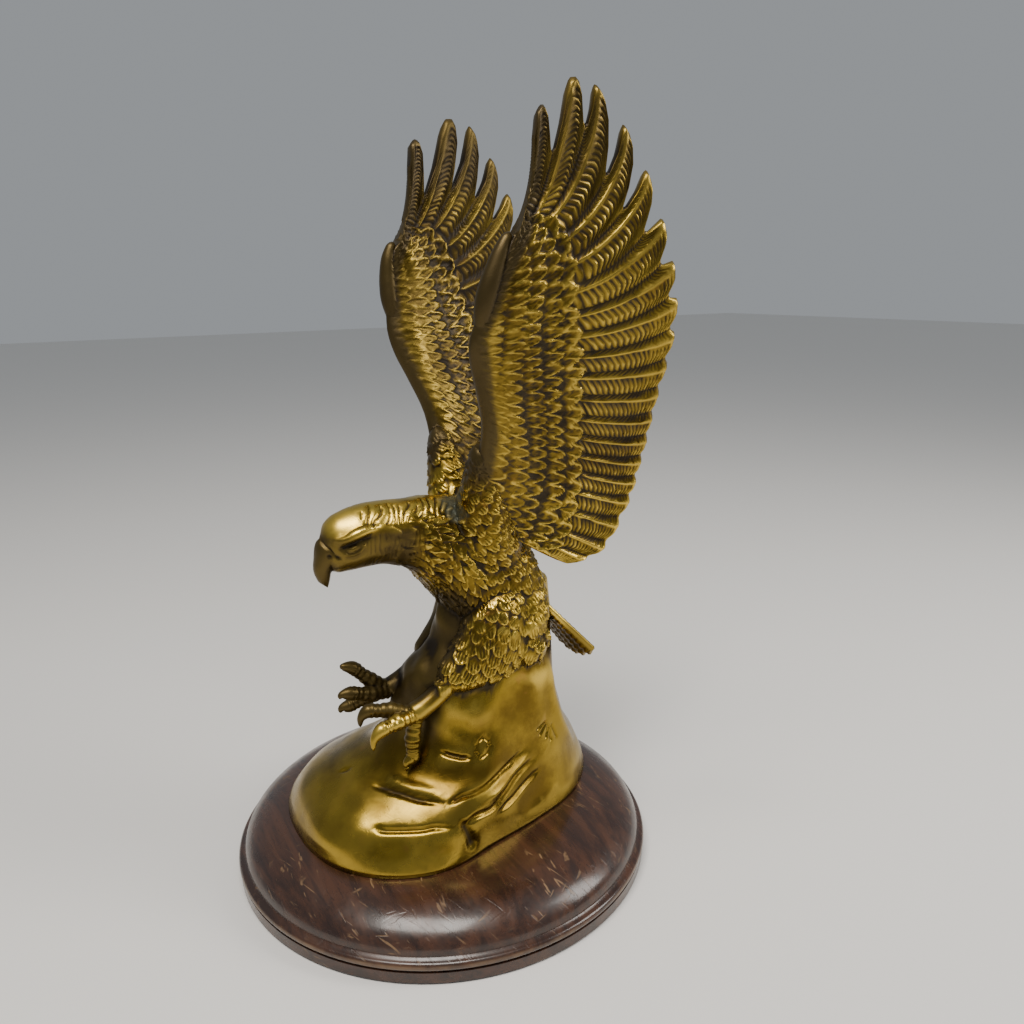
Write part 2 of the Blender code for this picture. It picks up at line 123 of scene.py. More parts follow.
# Fine marks that years of handling leave on lacquer and on brass alike: hairline scratches and smudges.
marks = bpy.data.node_groups.new("handling_marks", "ShaderNodeTree")
for name, kind in (("Place", "NodeSocketVector"), ("Fineness", "NodeSocketFloat")):
    marks.interface.new_socket(name, in_out="INPUT", socket_type=kind)
for name in ("Scratches", "Smudges"):
    marks.interface.new_socket(name, in_out="OUTPUT", socket_type="NodeSocketFloat")
given = marks.nodes.new("NodeGroupInput")
scratches = None
for turn, stretch in SCRATCH_RUNS:
    values = {"Vector": given.outputs["Place"], "Rotation": (turn, turn * 0.6, turn), "Scale": stretch}
    mapping = add_node(marks, "Mapping", values, vector_type="TEXTURE")
    streak = noise(marks, mapping.outputs[0], given.outputs["Fineness"], 2.0)
    thin = ranged(marks, streak, 0.64, 0.7)
    scratches = thin if scratches is None else combined(marks, "MAXIMUM", scratches, thin)
smudge = noise(marks, given.outputs["Place"], 55.0, 5.0, 0.6)
shown = marks.nodes.new("NodeGroupOutput")
marks.links.new(scratches, shown.inputs["Scratches"])
marks.links.new(ranged(marks, smudge, 0.35, 0.68), shown.inputs["Smudges"])

bpy.ops.object.select_all(action="DESELECT")
turned = [(FOOT_CHAMFER, PLINTH_FOOT_RADIUS), (BEAD_HEIGHT - BEAD_ROUND - BEAD_STEP, PLINTH_FOOT_RADIUS)]
for turn in np.linspace(-pi / 2, pi / 2, 11):
    radius = PLINTH_RADIUS - BEAD_ROUND + BEAD_ROUND * np.cos(turn)
    turned.append((BEAD_HEIGHT + BEAD_ROUND * np.sin(turn), radius))
for turn in np.linspace(pi / 2, 0, 22):
    radius = PLINTH_FLAT_RADIUS + (DOME_RADIUS - PLINTH_FLAT_RADIUS) * np.sin(turn)
    turned.append((float(dome_height(radius)), radius))
turned += [(PLINTH_TOP, 0.04), (PLINTH_TOP, 0.02), (PLINTH_TOP, 0.002)]
height, radius = 0.0, PLINTH_FOOT_RADIUS - FOOT_CHAMFER
bpy.ops.mesh.primitive_circle_add(vertices=PLINTH_SIDES, radius=radius, fill_type="NGON")
plinth = bpy.context.object
plinth.name = "turned_plinth"
bpy.ops.object.mode_set(mode="EDIT")
bpy.ops.mesh.select_all(action="SELECT")
for next_height, next_radius in turned:
    bpy.ops.mesh.extrude_region_move(TRANSFORM_OT_translate={"value": (0, 0, next_height - height)})
    bpy.ops.transform.resize(value=(next_radius / radius, next_radius / radius, 1))
    height, radius = next_height, next_radius
bpy.ops.mesh.select_all(action="SELECT")
bpy.ops.mesh.normals_make_consistent(inside=False)
bpy.ops.object.mode_set(mode="OBJECT")
bpy.ops.object.shade_smooth_by_angle(angle=radians(40))

wood, tree, shader, place = new_material("lacquered_wood")
along_grain = add_node(tree, "Mapping", {"Vector": place, "Scale": GRAIN_FINENESS, "Rotation": GRAIN_TURN})
grain = noise(tree, along_grain.outputs[0], 1.0, 6.0, 0.65, 0.4)
pores_place = add_node(tree, "Mapping", {"Vector": place, "Scale": PORE_FINENESS, "Rotation": GRAIN_TURN})
pores = noise(tree, pores_place.outputs[0], 1.0, 3.0)
handled = add_node(tree, "Group", {"Place": place, "Fineness": 0.5}, node_tree=marks)
patches = noise(tree, place, 26.0, 7.0, 0.7)
worn = ranged(tree, patches, 0.5, 0.64)
sideways, back, _ = add_node(tree, "SeparateXYZ", {"Vector": place}).outputs
out = combined(tree, "ADD", times(tree, sideways, sideways), times(tree, back, back))
out = combined(tree, "POWER", out, 0.5)
rim = ranged(tree, out, PLINTH_RADIUS - BARE_RIM, PLINTH_RADIUS)
rim = times(tree, rim, ranged(tree, patches, 0.38, 0.6))
colour = mixed(tree, ranged(tree, grain, 0.35, 0.65), LACQUER, LACQUER_LIGHT)
colour = mixed(tree, times(tree, ranged(tree, pores, 0.6, 0.7), 0.5), colour, DARK_PORE)
scraped = times(tree, times(tree, worn, handled.outputs["Scratches"]), 0.8)
wear = combined(tree, "MAXIMUM", times(tree, rim, 0.55), scraped)
colour = mixed(tree, wear, colour, BARE_WOOD)
tree.links.new(colour, shader.inputs["Base Color"])
rough = ranged(tree, handled.outputs["Smudges"], 0.0, 1.0, 0.24, 0.38)
rough = combined(tree, "ADD", rough, times(tree, wear, 0.3))
tree.links.new(rough, shader.inputs["Roughness"])
shader.inputs["Coat Weight"].default_value = 0.35
shader.inputs["Coat Roughness"].default_value = 0.16
dents = combined(tree, "SUBTRACT", times(tree, pores, 0.3), times(tree, handled.outputs["Scratches"], 0.6))
bump = add_node(tree, "Bump", {"Height": dents, "Strength": 0.25, "Distance": 0.0003})
tree.links.new(bump.outputs[0], shader.inputs["Normal"])
plinth.data.materials.append(wood)
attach(plinth, "root")
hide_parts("plinth")

# The casting: rock and eagle are one piece of brass, poured in a mould and chased by hand, and fixed
# to the plinth from below. Its limbs share what follows: soft steps, curves and closed bodies.
GAP = 0.0003
BIRD_X = 0.0125


def smooth(value, low=0.0, high=1.0):
    """A soft step from 0 at low to 1 at high."""
    part = np.clip((np.asarray(value, float) - low) / (high - low), 0, 1)
    return part * part * (3 - 2 * part)


def through(keys, places):
    """A soft curve through keys, rows of (place, values...), read at the given places."""
    keys = np.asarray(keys, float)
    at, values = keys[:, 0], keys[:, 1:]
    slopes = np.gradient(values, at, axis=0)
    places = np.clip(np.asarray(places, float), at[0], at[-1])
    left = np.clip(np.searchsorted(at, places, side="right") - 1, 0, len(at) - 2)
    width = at[left + 1] - at[left]
    part = ((places - at[left]) / width)[..., None]
    width = width[..., None]
    start = (1 + 2 * part) * (1 - part) ** 2 * values[left] + part * (1 - part) ** 2 * width * slopes[left]
    end = part**2 * (3 - 2 * part) * values[left + 1]
    end = end - part**2 * (1 - part) * width * slopes[left + 1]
    return start + end


def evenly(rows, count):
    """A soft curve through rows of numbers at equal distances, read at a count of places."""
    rows = np.asarray(rows, float)
    keys = np.column_stack([np.linspace(0, 1, len(rows)), rows])
    return through(keys, np.linspace(0, 1, count))


def wobble(points, size, seed=0):
    """A soft random field from -1 to 1 over the points, with lumps about the given size."""
    draws = np.random.default_rng(seed)
    total = np.zeros(len(points))
    for _ in range(7):
        direction = draws.normal(size=3)
        direction *= 2 * pi / (size * 1.6) * draws.uniform(0.6, 1.5) / np.linalg.norm(direction)
        total += np.sin(points @ direction + draws.uniform(0, 2 * pi))
    return total / 3.5


def in_scene(name, data):
    """An object of that name in the scene, from its data."""
    made = bpy.data.objects.new(name, data)
    bpy.context.scene.collection.objects.link(made)
    return made


def choose(shape):
    """Makes a shape the only selected one."""
    bpy.ops.object.select_all(action="DESELECT")
    bpy.context.view_layer.objects.active = shape
    shape.select_set(True)


def body_of(name, points, faces):
    """A mesh object from points and faces, turned outwards."""
    mesh = bpy.data.meshes.new(name)
    mesh.from_pydata(np.asarray(points, float).tolist(), [], np.asarray(faces).tolist())
    shape = in_scene(name, mesh)
    choose(shape)
    bpy.ops.object.mode_set(mode="EDIT")
    bpy.ops.mesh.select_all(action="SELECT")
    bpy.ops.mesh.normals_make_consistent(inside=False)
    bpy.ops.object.mode_set(mode="OBJECT")
    return shape


def loft(name, rings, start=None, end=None):
    """A closed body through rings of equal count, with a point or a flat fan at each end."""
    rings = np.asarray(rings, float)
    levels, around = rings.shape[:2]
    start = rings[0].mean(axis=0) if start is None else start
    end = rings[-1].mean(axis=0) if end is None else end
    points = np.concatenate([rings.reshape(-1, 3), [start], [end]])
    step = np.arange(around)
    turn = (step + 1) % around
    faces = []
    for level in range(levels - 1):
        here, there = level * around, (level + 1) * around
        faces.append(np.column_stack([here + step, here + turn, there + turn]))
        faces.append(np.column_stack([here + step, there + turn, there + step]))
    first, last = levels * around, levels * around + 1
    top = (levels - 1) * around
    faces.append(np.column_stack([np.full(around, first), turn, step]))
    faces.append(np.column_stack([np.full(around, last), top + step, top + turn]))
    return body_of(name, points, np.concatenate(faces))


def tube_rings(path, radii, around, flat=1.0):
    """Rings of points round a path, with a radius at each of its points."""
    path = np.asarray(path, float)
    radii = np.asarray(radii, float)
    along = np.gradient(path, axis=0)
    along /= np.linalg.norm(along, axis=1)[:, None]
    side = np.cross(along, (0.0, 0.05, 1.0))
    side /= np.linalg.norm(side, axis=1)[:, None]
    up = np.cross(side, along)
    angle = np.linspace(0, 2 * pi, around, endpoint=False)
    rings = path[:, None] + radii[:, None, None] * np.cos(angle)[None, :, None] * side[:, None]
    return rings + radii[:, None, None] * flat * np.sin(angle)[None, :, None] * up[:, None], along


def tube(name, path, radii, around=24, steps=40, ringed=None, flat=1.0):
    """A limb swept along a smooth path with rounded ends; ringed gives its swelling along it."""
    places = np.linspace(0, 1, steps)
    fine = evenly(np.column_stack([path, radii]), steps)
    radii = fine[:, 3] * (1 if ringed is None else 1 + ringed(places))
    from_end = np.clip(np.minimum(places, 1 - places) * steps / 4, 0, 1)
    caps = np.sqrt(np.clip(1 - (1 - from_end) ** 2, 0.04, 1))
    rings, _ = tube_rings(fine[:, :3], radii * caps, around, flat)
    return loft(name, rings)


def sheet(name, front, back):
    """A thin closed body between two grids of points that share their layout."""
    rows, columns = front.shape[:2]
    corner = (np.arange(rows - 1)[:, None] * columns + np.arange(columns - 1)).ravel()
    quads = np.column_stack([corner, corner + 1, corner + columns + 1, corner + columns])
    count = rows * columns
    rim = np.concatenate(
        [
            np.arange(columns),
            np.arange(1, rows) * columns + columns - 1,
            (rows - 1) * columns + np.arange(columns - 2, -1, -1),
            np.arange(rows - 2, 0, -1) * columns,
        ]
    )
    after = np.roll(rim, -1)
    edge = np.column_stack([after, rim, count + rim, count + after])
    faces = np.concatenate([quads, count + quads[:, ::-1], edge])
    return body_of(name, np.concatenate([front.reshape(-1, 3), back.reshape(-1, 3)]), faces)


def apply_modifier(shape, kind, **settings):
    choose(shape)
    modifier = shape.modifiers.new(kind.title(), kind)
    for name, value in settings.items():
        setattr(modifier, name, value)
    bpy.ops.object.modifier_apply(modifier=modifier.name)


def points_of(mesh):
    points = np.empty(len(mesh.vertices) * 3)
    mesh.vertices.foreach_get("co", points)
    normals = np.empty(len(mesh.vertices) * 3)
    mesh.vertex_normals.foreach_get("vector", normals)
    return points.reshape(-1, 3), normals.reshape(-1, 3)


def carve(points, normals, line, width, depth, taper=0.25):
    """Cuts a groove of a width and depth along a line laid on the surface, fading at its ends."""
    line = np.asarray(line, float)
    places = np.linspace(0, 1, 60)
    fine = evenly(line, 60)
    ends = smooth(np.minimum(places, 1 - places), -0.02, taper)
    reach = 0.01 + np.ptp(line, axis=0).max()
    near = np.flatnonzero(np.linalg.norm(points - line.mean(axis=0), axis=1) < reach)
    for step, place in enumerate(fine):
        fine[step] = points[near[np.argmin(np.linalg.norm(points[near] - place, axis=1))]]
    for _ in range(8):
        fine[1:-1] = (fine[:-2] + fine[1:-1] + fine[2:]) / 3
    apart = np.linalg.norm(points[near][:, None] - fine[None], axis=2)
    cut = (ends * np.exp(-((apart / width) ** 2))).max(axis=1)
    moved = points.copy()
    moved[near] -= normals[near] * (depth * cut)[:, None]
    return moved


def set_points(mesh, points):
    mesh.vertices.foreach_set("co", points.ravel())
    mesh.update()


# The rock: a broad low mound in front, gathered into a pillar under the bird. It is polished smooth,
# with creases cut across it and hammered where the feet meet it.
ROCK_FOOT = (0.048, 0.049, 0.06, 0.071, 0.066, 0.054, 0.048, 0.058, 0.067, 0.066, 0.066, 0.06)
ROCK_TOP = 0.124
ROCK_SHOULDER = 0.119
PILLAR_CENTRE = (0.012, 0.02)
PILLAR_HALF_WIDTH = 0.021
PILLAR_HALF_LENGTH = 0.028
# Height, how far the rock has drawn in from its foot to the pillar in front and at the back, and width
ROCK_LEVELS = (
    (0.0245, 0.0, 0.0, 1.0),
    (0.03, 0.02, 0.12, 1.0),
    (0.038, 0.1, 0.29, 1.0),
    (0.046, 0.33, 0.46, 1.0),
    (0.052, 0.53, 0.62, 1.0),
    (0.058, 0.64, 0.74, 1.0),
    (0.066, 0.71, 0.87, 1.0),
    (0.076, 0.75, 0.97, 1.0),
    (0.088, 0.83, 1.02, 0.96),
    (0.1, 1.0, 1.06, 0.84),
    (0.112, 1.04, 1.08, 0.72),
    (ROCK_TOP, 1.08, 1.12, 0.58),
)
ROCK_AROUND = 420
# Bands of rings up the rock: from, to, rings
ROCK_BANDS = ((0.0245, 0.034, 16), (0.0346, 0.068, 78), (0.069, ROCK_TOP, 44))
UNDER_SHARES = (0.5, 0.66, 0.84, 0.9, 0.95)
ROCK_FOLD = 0.0012
ROCK_FOLDS_ROUND = 5
ROCK_DENTS = 0.00035
ROCK_DENT_SIZE = 0.016
WALL_DENTS = 0.00055
WALL_DENT_SIZE = 0.007
ROCK_FACES_KEPT = 0.17
# Creases and file cuts in the rock: half width, depth (a negative depth is a raised fold), then the course
ROCK_CUTS = (
    (0.0008, 0.0014, (0.03, -0.015, 0.0607), (0.035, -0.0105, 0.0595), (0.0385, -0.0045, 0.0585)),
    (0.0011, 0.0012, (0.019, -0.04, 0.049), (0.0245, -0.037, 0.0485), (0.0305, -0.0325, 0.048),
        (0.0365, -0.0275, 0.047), (0.0435, -0.018, 0.045)),
    (0.0022, -0.001, (0.022, -0.035, 0.052), (0.0305, -0.03, 0.0512), (0.04, -0.02, 0.049)),
    (0.0011, 0.0012, (0.033, -0.045, 0.039), (0.0375, -0.042, 0.039), (0.044, -0.031, 0.039),
        (0.046, -0.025, 0.039), (0.049, -0.0165, 0.0375)),
    (0.0011, 0.0013, (0.043, -0.018, 0.045), (0.044, -0.013, 0.047), (0.0445, -0.0045, 0.0475),
        (0.0435, 0.0005, 0.0485), (0.0395, 0.012, 0.051), (0.0355, 0.0235, 0.0545)),
    (0.0011, 0.0013, (0.049, -0.0155, 0.0365), (0.048, -0.009, 0.0395), (0.0465, 0.0, 0.039),
        (0.0435, 0.0075, 0.042), (0.039, 0.0175, 0.0465), (0.0355, 0.029, 0.0485)),
    (0.0011, 0.0012, (0.0465, 0.0015, 0.036), (0.043, 0.0115, 0.038), (0.0395, 0.02, 0.0405),
        (0.0365, 0.0285, 0.043)),
    (0.0016, -0.001, (0.047, -0.005, 0.043), (0.0445, 0.005, 0.0445), (0.0405, 0.014, 0.048),
        (0.0365, 0.0255, 0.0515)),
    (0.002, 0.0018, (0.048, -0.015, 0.0395), (0.05, -0.0125, 0.033), (0.051, -0.011, 0.028)),
    (0.003, -0.0012, (0.0275, 0.038, 0.0865), (0.0285, 0.0395, 0.0725), (0.028, 0.044, 0.057),
        (0.0235, 0.055, 0.039)),
    (0.0009, 0.0008, (0.001, -0.047, 0.0475), (0.003, -0.043, 0.0475)),
)
FAN_ROOT = (0.0325, 0.0365, 0.062)
FAN_TIPS = (
    (0.0335, 0.029, 0.059), (0.0335, 0.03, 0.056), (0.033, 0.0335, 0.0535), (0.033, 0.036, 0.0515),
    (0.032, 0.04, 0.0515),
)
FAN_CUT = 0.00045
OVAL_CUT = 0.0005
PUNCH_DEPTH = 0.0007
OVAL = (
    (0.037, 0.0015, 0.0655), (0.0375, 0.0035, 0.0635), (0.0385, 0.0035, 0.061),
    (0.039, 0.0015, 0.0585), (0.039, -0.0015, 0.058), (0.038, -0.0025, 0.0605),
    (0.037, -0.0015, 0.0635),
)


def rock_foot(angle):
    """The rock's reach from the plinth's axis in each direction."""
    count = len(ROCK_FOOT)
    keys = [(turn, ROCK_FOOT[turn % count]) for turn in range(-2, count + 3)]
    return through(keys, np.mod(angle, 2 * pi) * count / (2 * pi))[..., 0]


angle = np.linspace(0, 2 * pi, ROCK_AROUND, endpoint=False)
foot = rock_foot(angle)[:, None] * np.stack([np.cos(angle), np.sin(angle)], axis=1)
pillar = np.stack(
    [
        PILLAR_CENTRE[0] + PILLAR_HALF_WIDTH * np.cos(angle),
        PILLAR_CENTRE[1] + PILLAR_HALF_LENGTH * np.sin(angle),
    ],
    axis=1,
)
frontness = ((1 - np.sin(angle)) / 2) ** 2
rings = []
for height in np.concatenate([np.linspace(*band) for band in ROCK_BANDS]):
    front, back, width = through(ROCK_LEVELS, height)
    share = back + (front - back) * frontness
    ring_place = foot + (pillar - foot) * share[:, None]
    ring_place[:, 0] = PILLAR_CENTRE[0] + (ring_place[:, 0] - PILLAR_CENTRE[0]) * width
    rounding = np.sqrt(1 - (max(height - ROCK_SHOULDER, 0) / (ROCK_TOP - ROCK_SHOULDER + 0.0006)) ** 2)
    ring_place = PILLAR_CENTRE + (ring_place - PILLAR_CENTRE) * rounding
    fold = ROCK_FOLD * np.sin(ROCK_FOLDS_ROUND * angle + 60 * height)
    fold = fold * smooth(height, 0.024, 0.034) * smooth(height, 0.095, 0.07)
    ring_place = ring_place * (1 + fold / np.linalg.norm(ring_place, axis=1))[:, None]
    level = np.full(ROCK_AROUND, height)
    if not rings:
        level = dome_height(np.linalg.norm(ring_place, axis=1)) + GAP
    rings.append(np.column_stack([ring_place, level]))
under = []
for share in UNDER_SHARES:
    inner = foot * share
    under.append(np.column_stack([inner, dome_height(np.linalg.norm(inner, axis=1)) + GAP]))
rock = loft("rock", [*under, *rings], (0, 0, PLINTH_TOP + GAP))
points, normals = points_of(rock.data)
free = smooth(points[:, 2], 0.0265, 0.032)
points += normals * (ROCK_DENTS * wobble(points, ROCK_DENT_SIZE, 1) * free)[:, None]
rough_wall = smooth(points[:, 2], 0.06, 0.072) * smooth(points[:, 1], 0.006, -0.006)
points += normals * (WALL_DENTS * wobble(points, WALL_DENT_SIZE, 2) * rough_wall)[:, None]
for width, depth, *line in ROCK_CUTS:
    points = carve(points, normals, line, width, depth)
for base, tips, width in ((FAN_ROOT, FAN_TIPS, FAN_CUT), (None, OVAL, OVAL_CUT)):
    for step, tip in enumerate(tips):
        start = base if base else tips[step - 1]
        start = np.array(start) * 0.7 + np.array(tip) * 0.3
        points = carve(points, normals, (start, tip), width, PUNCH_DEPTH, 0.1)
set_points(rock.data, points)
apply_modifier(rock, "DECIMATE", ratio=ROCK_FACES_KEPT)

# The wings: raised, each a thick arm in front, rows of overlapping coverts and a fan of nineteen
# flight feathers whose first seven stand apart like fingers. Both faces are chased with barbs.
WING_TOP = 0.306
WING_CLIP = 0.0003
WING_ROOT_SPREAD = 0.0135
WING_TIP_SPREAD = 0.0265
WING_SPREAD_FROM = 0.14
WING_SPREAD_TO = 0.25
WING_FLARE_RATIO = 0.15
WING_FLARE_FROM = 0.005
FEATHERS = 19
FAR_WING_LEAN = 0.008
LEAN_AT_ROOT = (9, 1)
LEAN_AT_TIP = (2.6, 0.8)
ARM_THICKNESS = 0.0075
FEATHER_THICKNESS = 0.0026
TIP_THICKNESS = 0.0024
# Feather tips, starts and bends seen from the side: feather number, back, up
TIPS = (
    (0.3, 0.015, 0.29), (1, 0.018, 0.296), (2, 0.03, WING_TOP), (3, 0.039, 0.3035),
    (4, 0.05, 0.291), (5, 0.059, 0.2765), (6, 0.066, 0.26), (8, 0.0735, 0.2325),
    (11, 0.074, 0.198), (14, 0.074, 0.17), (16, 0.0715, 0.1525), (18, 0.0605, 0.1335),
    (19.5, 0.046, 0.129),
)
STARTS = (
    (0.3, 0.009, 0.257), (2, 0.005, 0.25), (4, 0.0005, 0.2415), (6, -0.003, 0.2325),
    (8, -0.006, 0.2225), (10, -0.0048, 0.214), (12, -0.001, 0.204), (15, 0.004, 0.187),
    (17, 0.004, 0.172), (19.5, 0.004, 0.156),
)
BENDS = (
    (0.3, 0.0155, 0.2685), (1, 0.0195, 0.2715), (1.5, 0.025, 0.269), (2, 0.031, 0.2695),
    (2.5, 0.0378, 0.2705), (3, 0.044, 0.267), (3.5, 0.0495, 0.262), (4, 0.0518, 0.256),
    (5, 0.054, 0.244), (6, 0.0525, 0.2315), (7, 0.054, 0.223), (8, 0.056, 0.2155),
    (9, 0.056, 0.2075), (11, 0.055, 0.1895), (14, 0.055, 0.1655), (16, 0.053, 0.151),
    (18, 0.045, 0.1368), (19.5, 0.034, 0.1335),
)
# How deep the cut between feathers goes, and how far out the coverts reach, as shares of their length
NEAR_NOTCHES = (
    (0.3, 0.05), (1.5, 0.31), (2.5, 0.21), (3.5, 0.32), (4.5, 0.3), (5.5, 0.18), (6.5, 0.11),
    (8, 0.07), (19.5, 0.05),
)
FAR_NOTCHES = (
    (0.3, 0.05), (1.5, 0.44), (2.5, 0.4), (3.5, 0.33), (4.5, 0.26), (5.5, 0.17), (6.5, 0.11),
    (8, 0.07), (19.5, 0.05),
)
COVERT_EDGE = (
    (0.3, 0.24), (2, 0.28), (4, 0.32), (8, 0.38), (11, 0.42), (14, 0.46), (17, 0.53), (19.5, 0.62),
)
# The cut's depth at each share of the way from a feather's middle to its neighbour
FEATHER_END = (
    (0, 0), (0.22, 0.02), (0.38, 0.09), (0.52, 0.25), (0.62, 0.5), (0.74, 0.8), (0.87, 0.95), (1, 1),
)
VANE_COLUMNS = np.array(
    [-0.5, -0.45, -0.39, -0.33, -0.28, -0.25, -0.22, -0.17, -0.1, -0.02, 0.07, 0.16, 0.25, 0.33, 0.4, 0.46]
)
RACHIS_AT = -0.25
RACHIS_SHIFT = 0.2
BARBS_FROM = 0.26
BARBS_TO = 0.975
BARBS = 21
BARB_BEAT = np.array([-0.5, 0.1, 0.5, 0.25, -0.25])
BARB_SWEEP = 0.075
VANE_RISE = 0.0009
SHAFT_RISE = 0.0005
BARB_RISE = 0.00062
RELIEF_SUNK = 0.0003
THINNEST_HALF = 0.00025
NEAR_FACES_KEPT = 0.28
FAR_FACES_KEPT = 0.22
ARM_SHARES = (0, 0.003, 0.009, 0.018, 0.028, 0.038, 0.048, 0.058, 0.068, 0.078)
COVERT_SHARES = np.linspace(0.086, 0.254, 25)
COVERT_TILT = 0.9
# Rows of coverts as shares of their reach: start, tip, scales to a feather, stagger, barbs, lift
NEAR_COVERTS = (
    (-0.12, 0.25, 1.5, 0.3, 4.0, 0.00075),
    (0.07, 0.44, 1.5, 0.8, 4.0, 0.00095),
    (0.27, 0.64, 1.5, 0.3, 4.0, 0.0011),
    (0.47, 0.85, 1.5, 0.8, 4.0, 0.00125),
    (0.68, 1.07, 1, 0.2, 4.5, 0.0014),
)
FAR_COVERTS = (
    (-0.04, 0.27, 1.5, 0.5, 3.5, 0.00085),
    (0.12, 0.46, 1.5, 0.0, 3.5, 0.00105),
    (0.3, 0.65, 1.5, 0.5, 4.0, 0.00125),
    (0.48, 0.86, 1.5, 0.0, 4.0, 0.0014),
    (0.68, 1.07, 1, 0.5, 4.5, 0.0015),
)


def feather_line(number, reach):
    """A place on a wing seen from the side: along feather number, at a share of its length."""
    start, bend, tip = (through(keys, number) for keys in (STARTS, BENDS, TIPS))
    reach = reach[..., None]
    return (1 - reach) ** 2 * start + 2 * reach * (1 - reach) * bend + reach**2 * tip


def wing_sheet_x(back, up):
    """How far a wing stands from the bird's middle, at a place seen from the side."""
    spread = WING_ROOT_SPREAD + WING_TIP_SPREAD * smooth(up, WING_SPREAD_FROM, WING_SPREAD_TO)
    return spread + WING_FLARE_RATIO * np.maximum(back - WING_FLARE_FROM, 0)


def covert_relief(number, reach, rows):
    """The height of the overlapping barbed coverts over a wing's face."""
    share = reach / through(COVERT_EDGE, number)[..., 0]
    relief = np.zeros_like(share)
    for start, tip, scales, stagger, barbs, lift in rows:
        along = (share - start) / (tip - start)
        across = number * scales + stagger + COVERT_TILT * (along - 0.5) * smooth(number, 3, 10)
        chance = np.sin(np.round(across) * 12.99 + tip * 78.2)
        along = along - 0.06 * chance
        across = 2 * (across - np.round(across))
        outline = 1.12 * np.sqrt(1 - np.clip((along - 0.5) / 0.5, 0, 1) ** 2)
        inside = outline - np.abs(across)
        height = lift * (0.24 + 0.4 * smooth(along, 0.0, 0.9))
        height = height + 0.62 * lift * np.exp(-((inside - 0.24) / 0.17) ** 2) * smooth(along, 0.4, 0.6)
        height = height + 0.16 * lift * np.exp(-((across / 0.14) ** 2)) * smooth(inside, 0.3, 0.5)
        barb = np.cos(2 * pi * (along * barbs - np.abs(across) * 1.1))
        height = height + 0.16 * lift * barb * smooth(inside, 0.3, 0.5) * smooth(np.abs(across), 0.1, 0.28)
        height = height * smooth(inside, 0.0, 0.16) * smooth(along, 0.0, 0.1)
        height = height * (along < 1.02) * smooth(share, -0.01, 0.06)
        relief = np.maximum(relief, height)
    return relief, share


def flight_relief(offset, beat):
    """The height of a flight feather: a rounded vane falling away from its shaft, cut by slanting barbs."""
    ahead = offset - RACHIS_AT
    trailing = np.clip(ahead / (0.5 - RACHIS_AT), 0, 1)
    leading = np.clip(-ahead / (0.5 + RACHIS_AT), 0, 1)
    vane = VANE_RISE * (1 - 0.35 * trailing - 0.65 * trailing**5) * (1 - leading**2)
    shaft = SHAFT_RISE * np.exp(-((ahead / 0.05) ** 2))
    barbs = BARB_RISE * beat * smooth(np.abs(ahead), 0.05, 0.12) * smooth(np.abs(offset), 0.5, 0.43)
    return vane + shaft + barbs


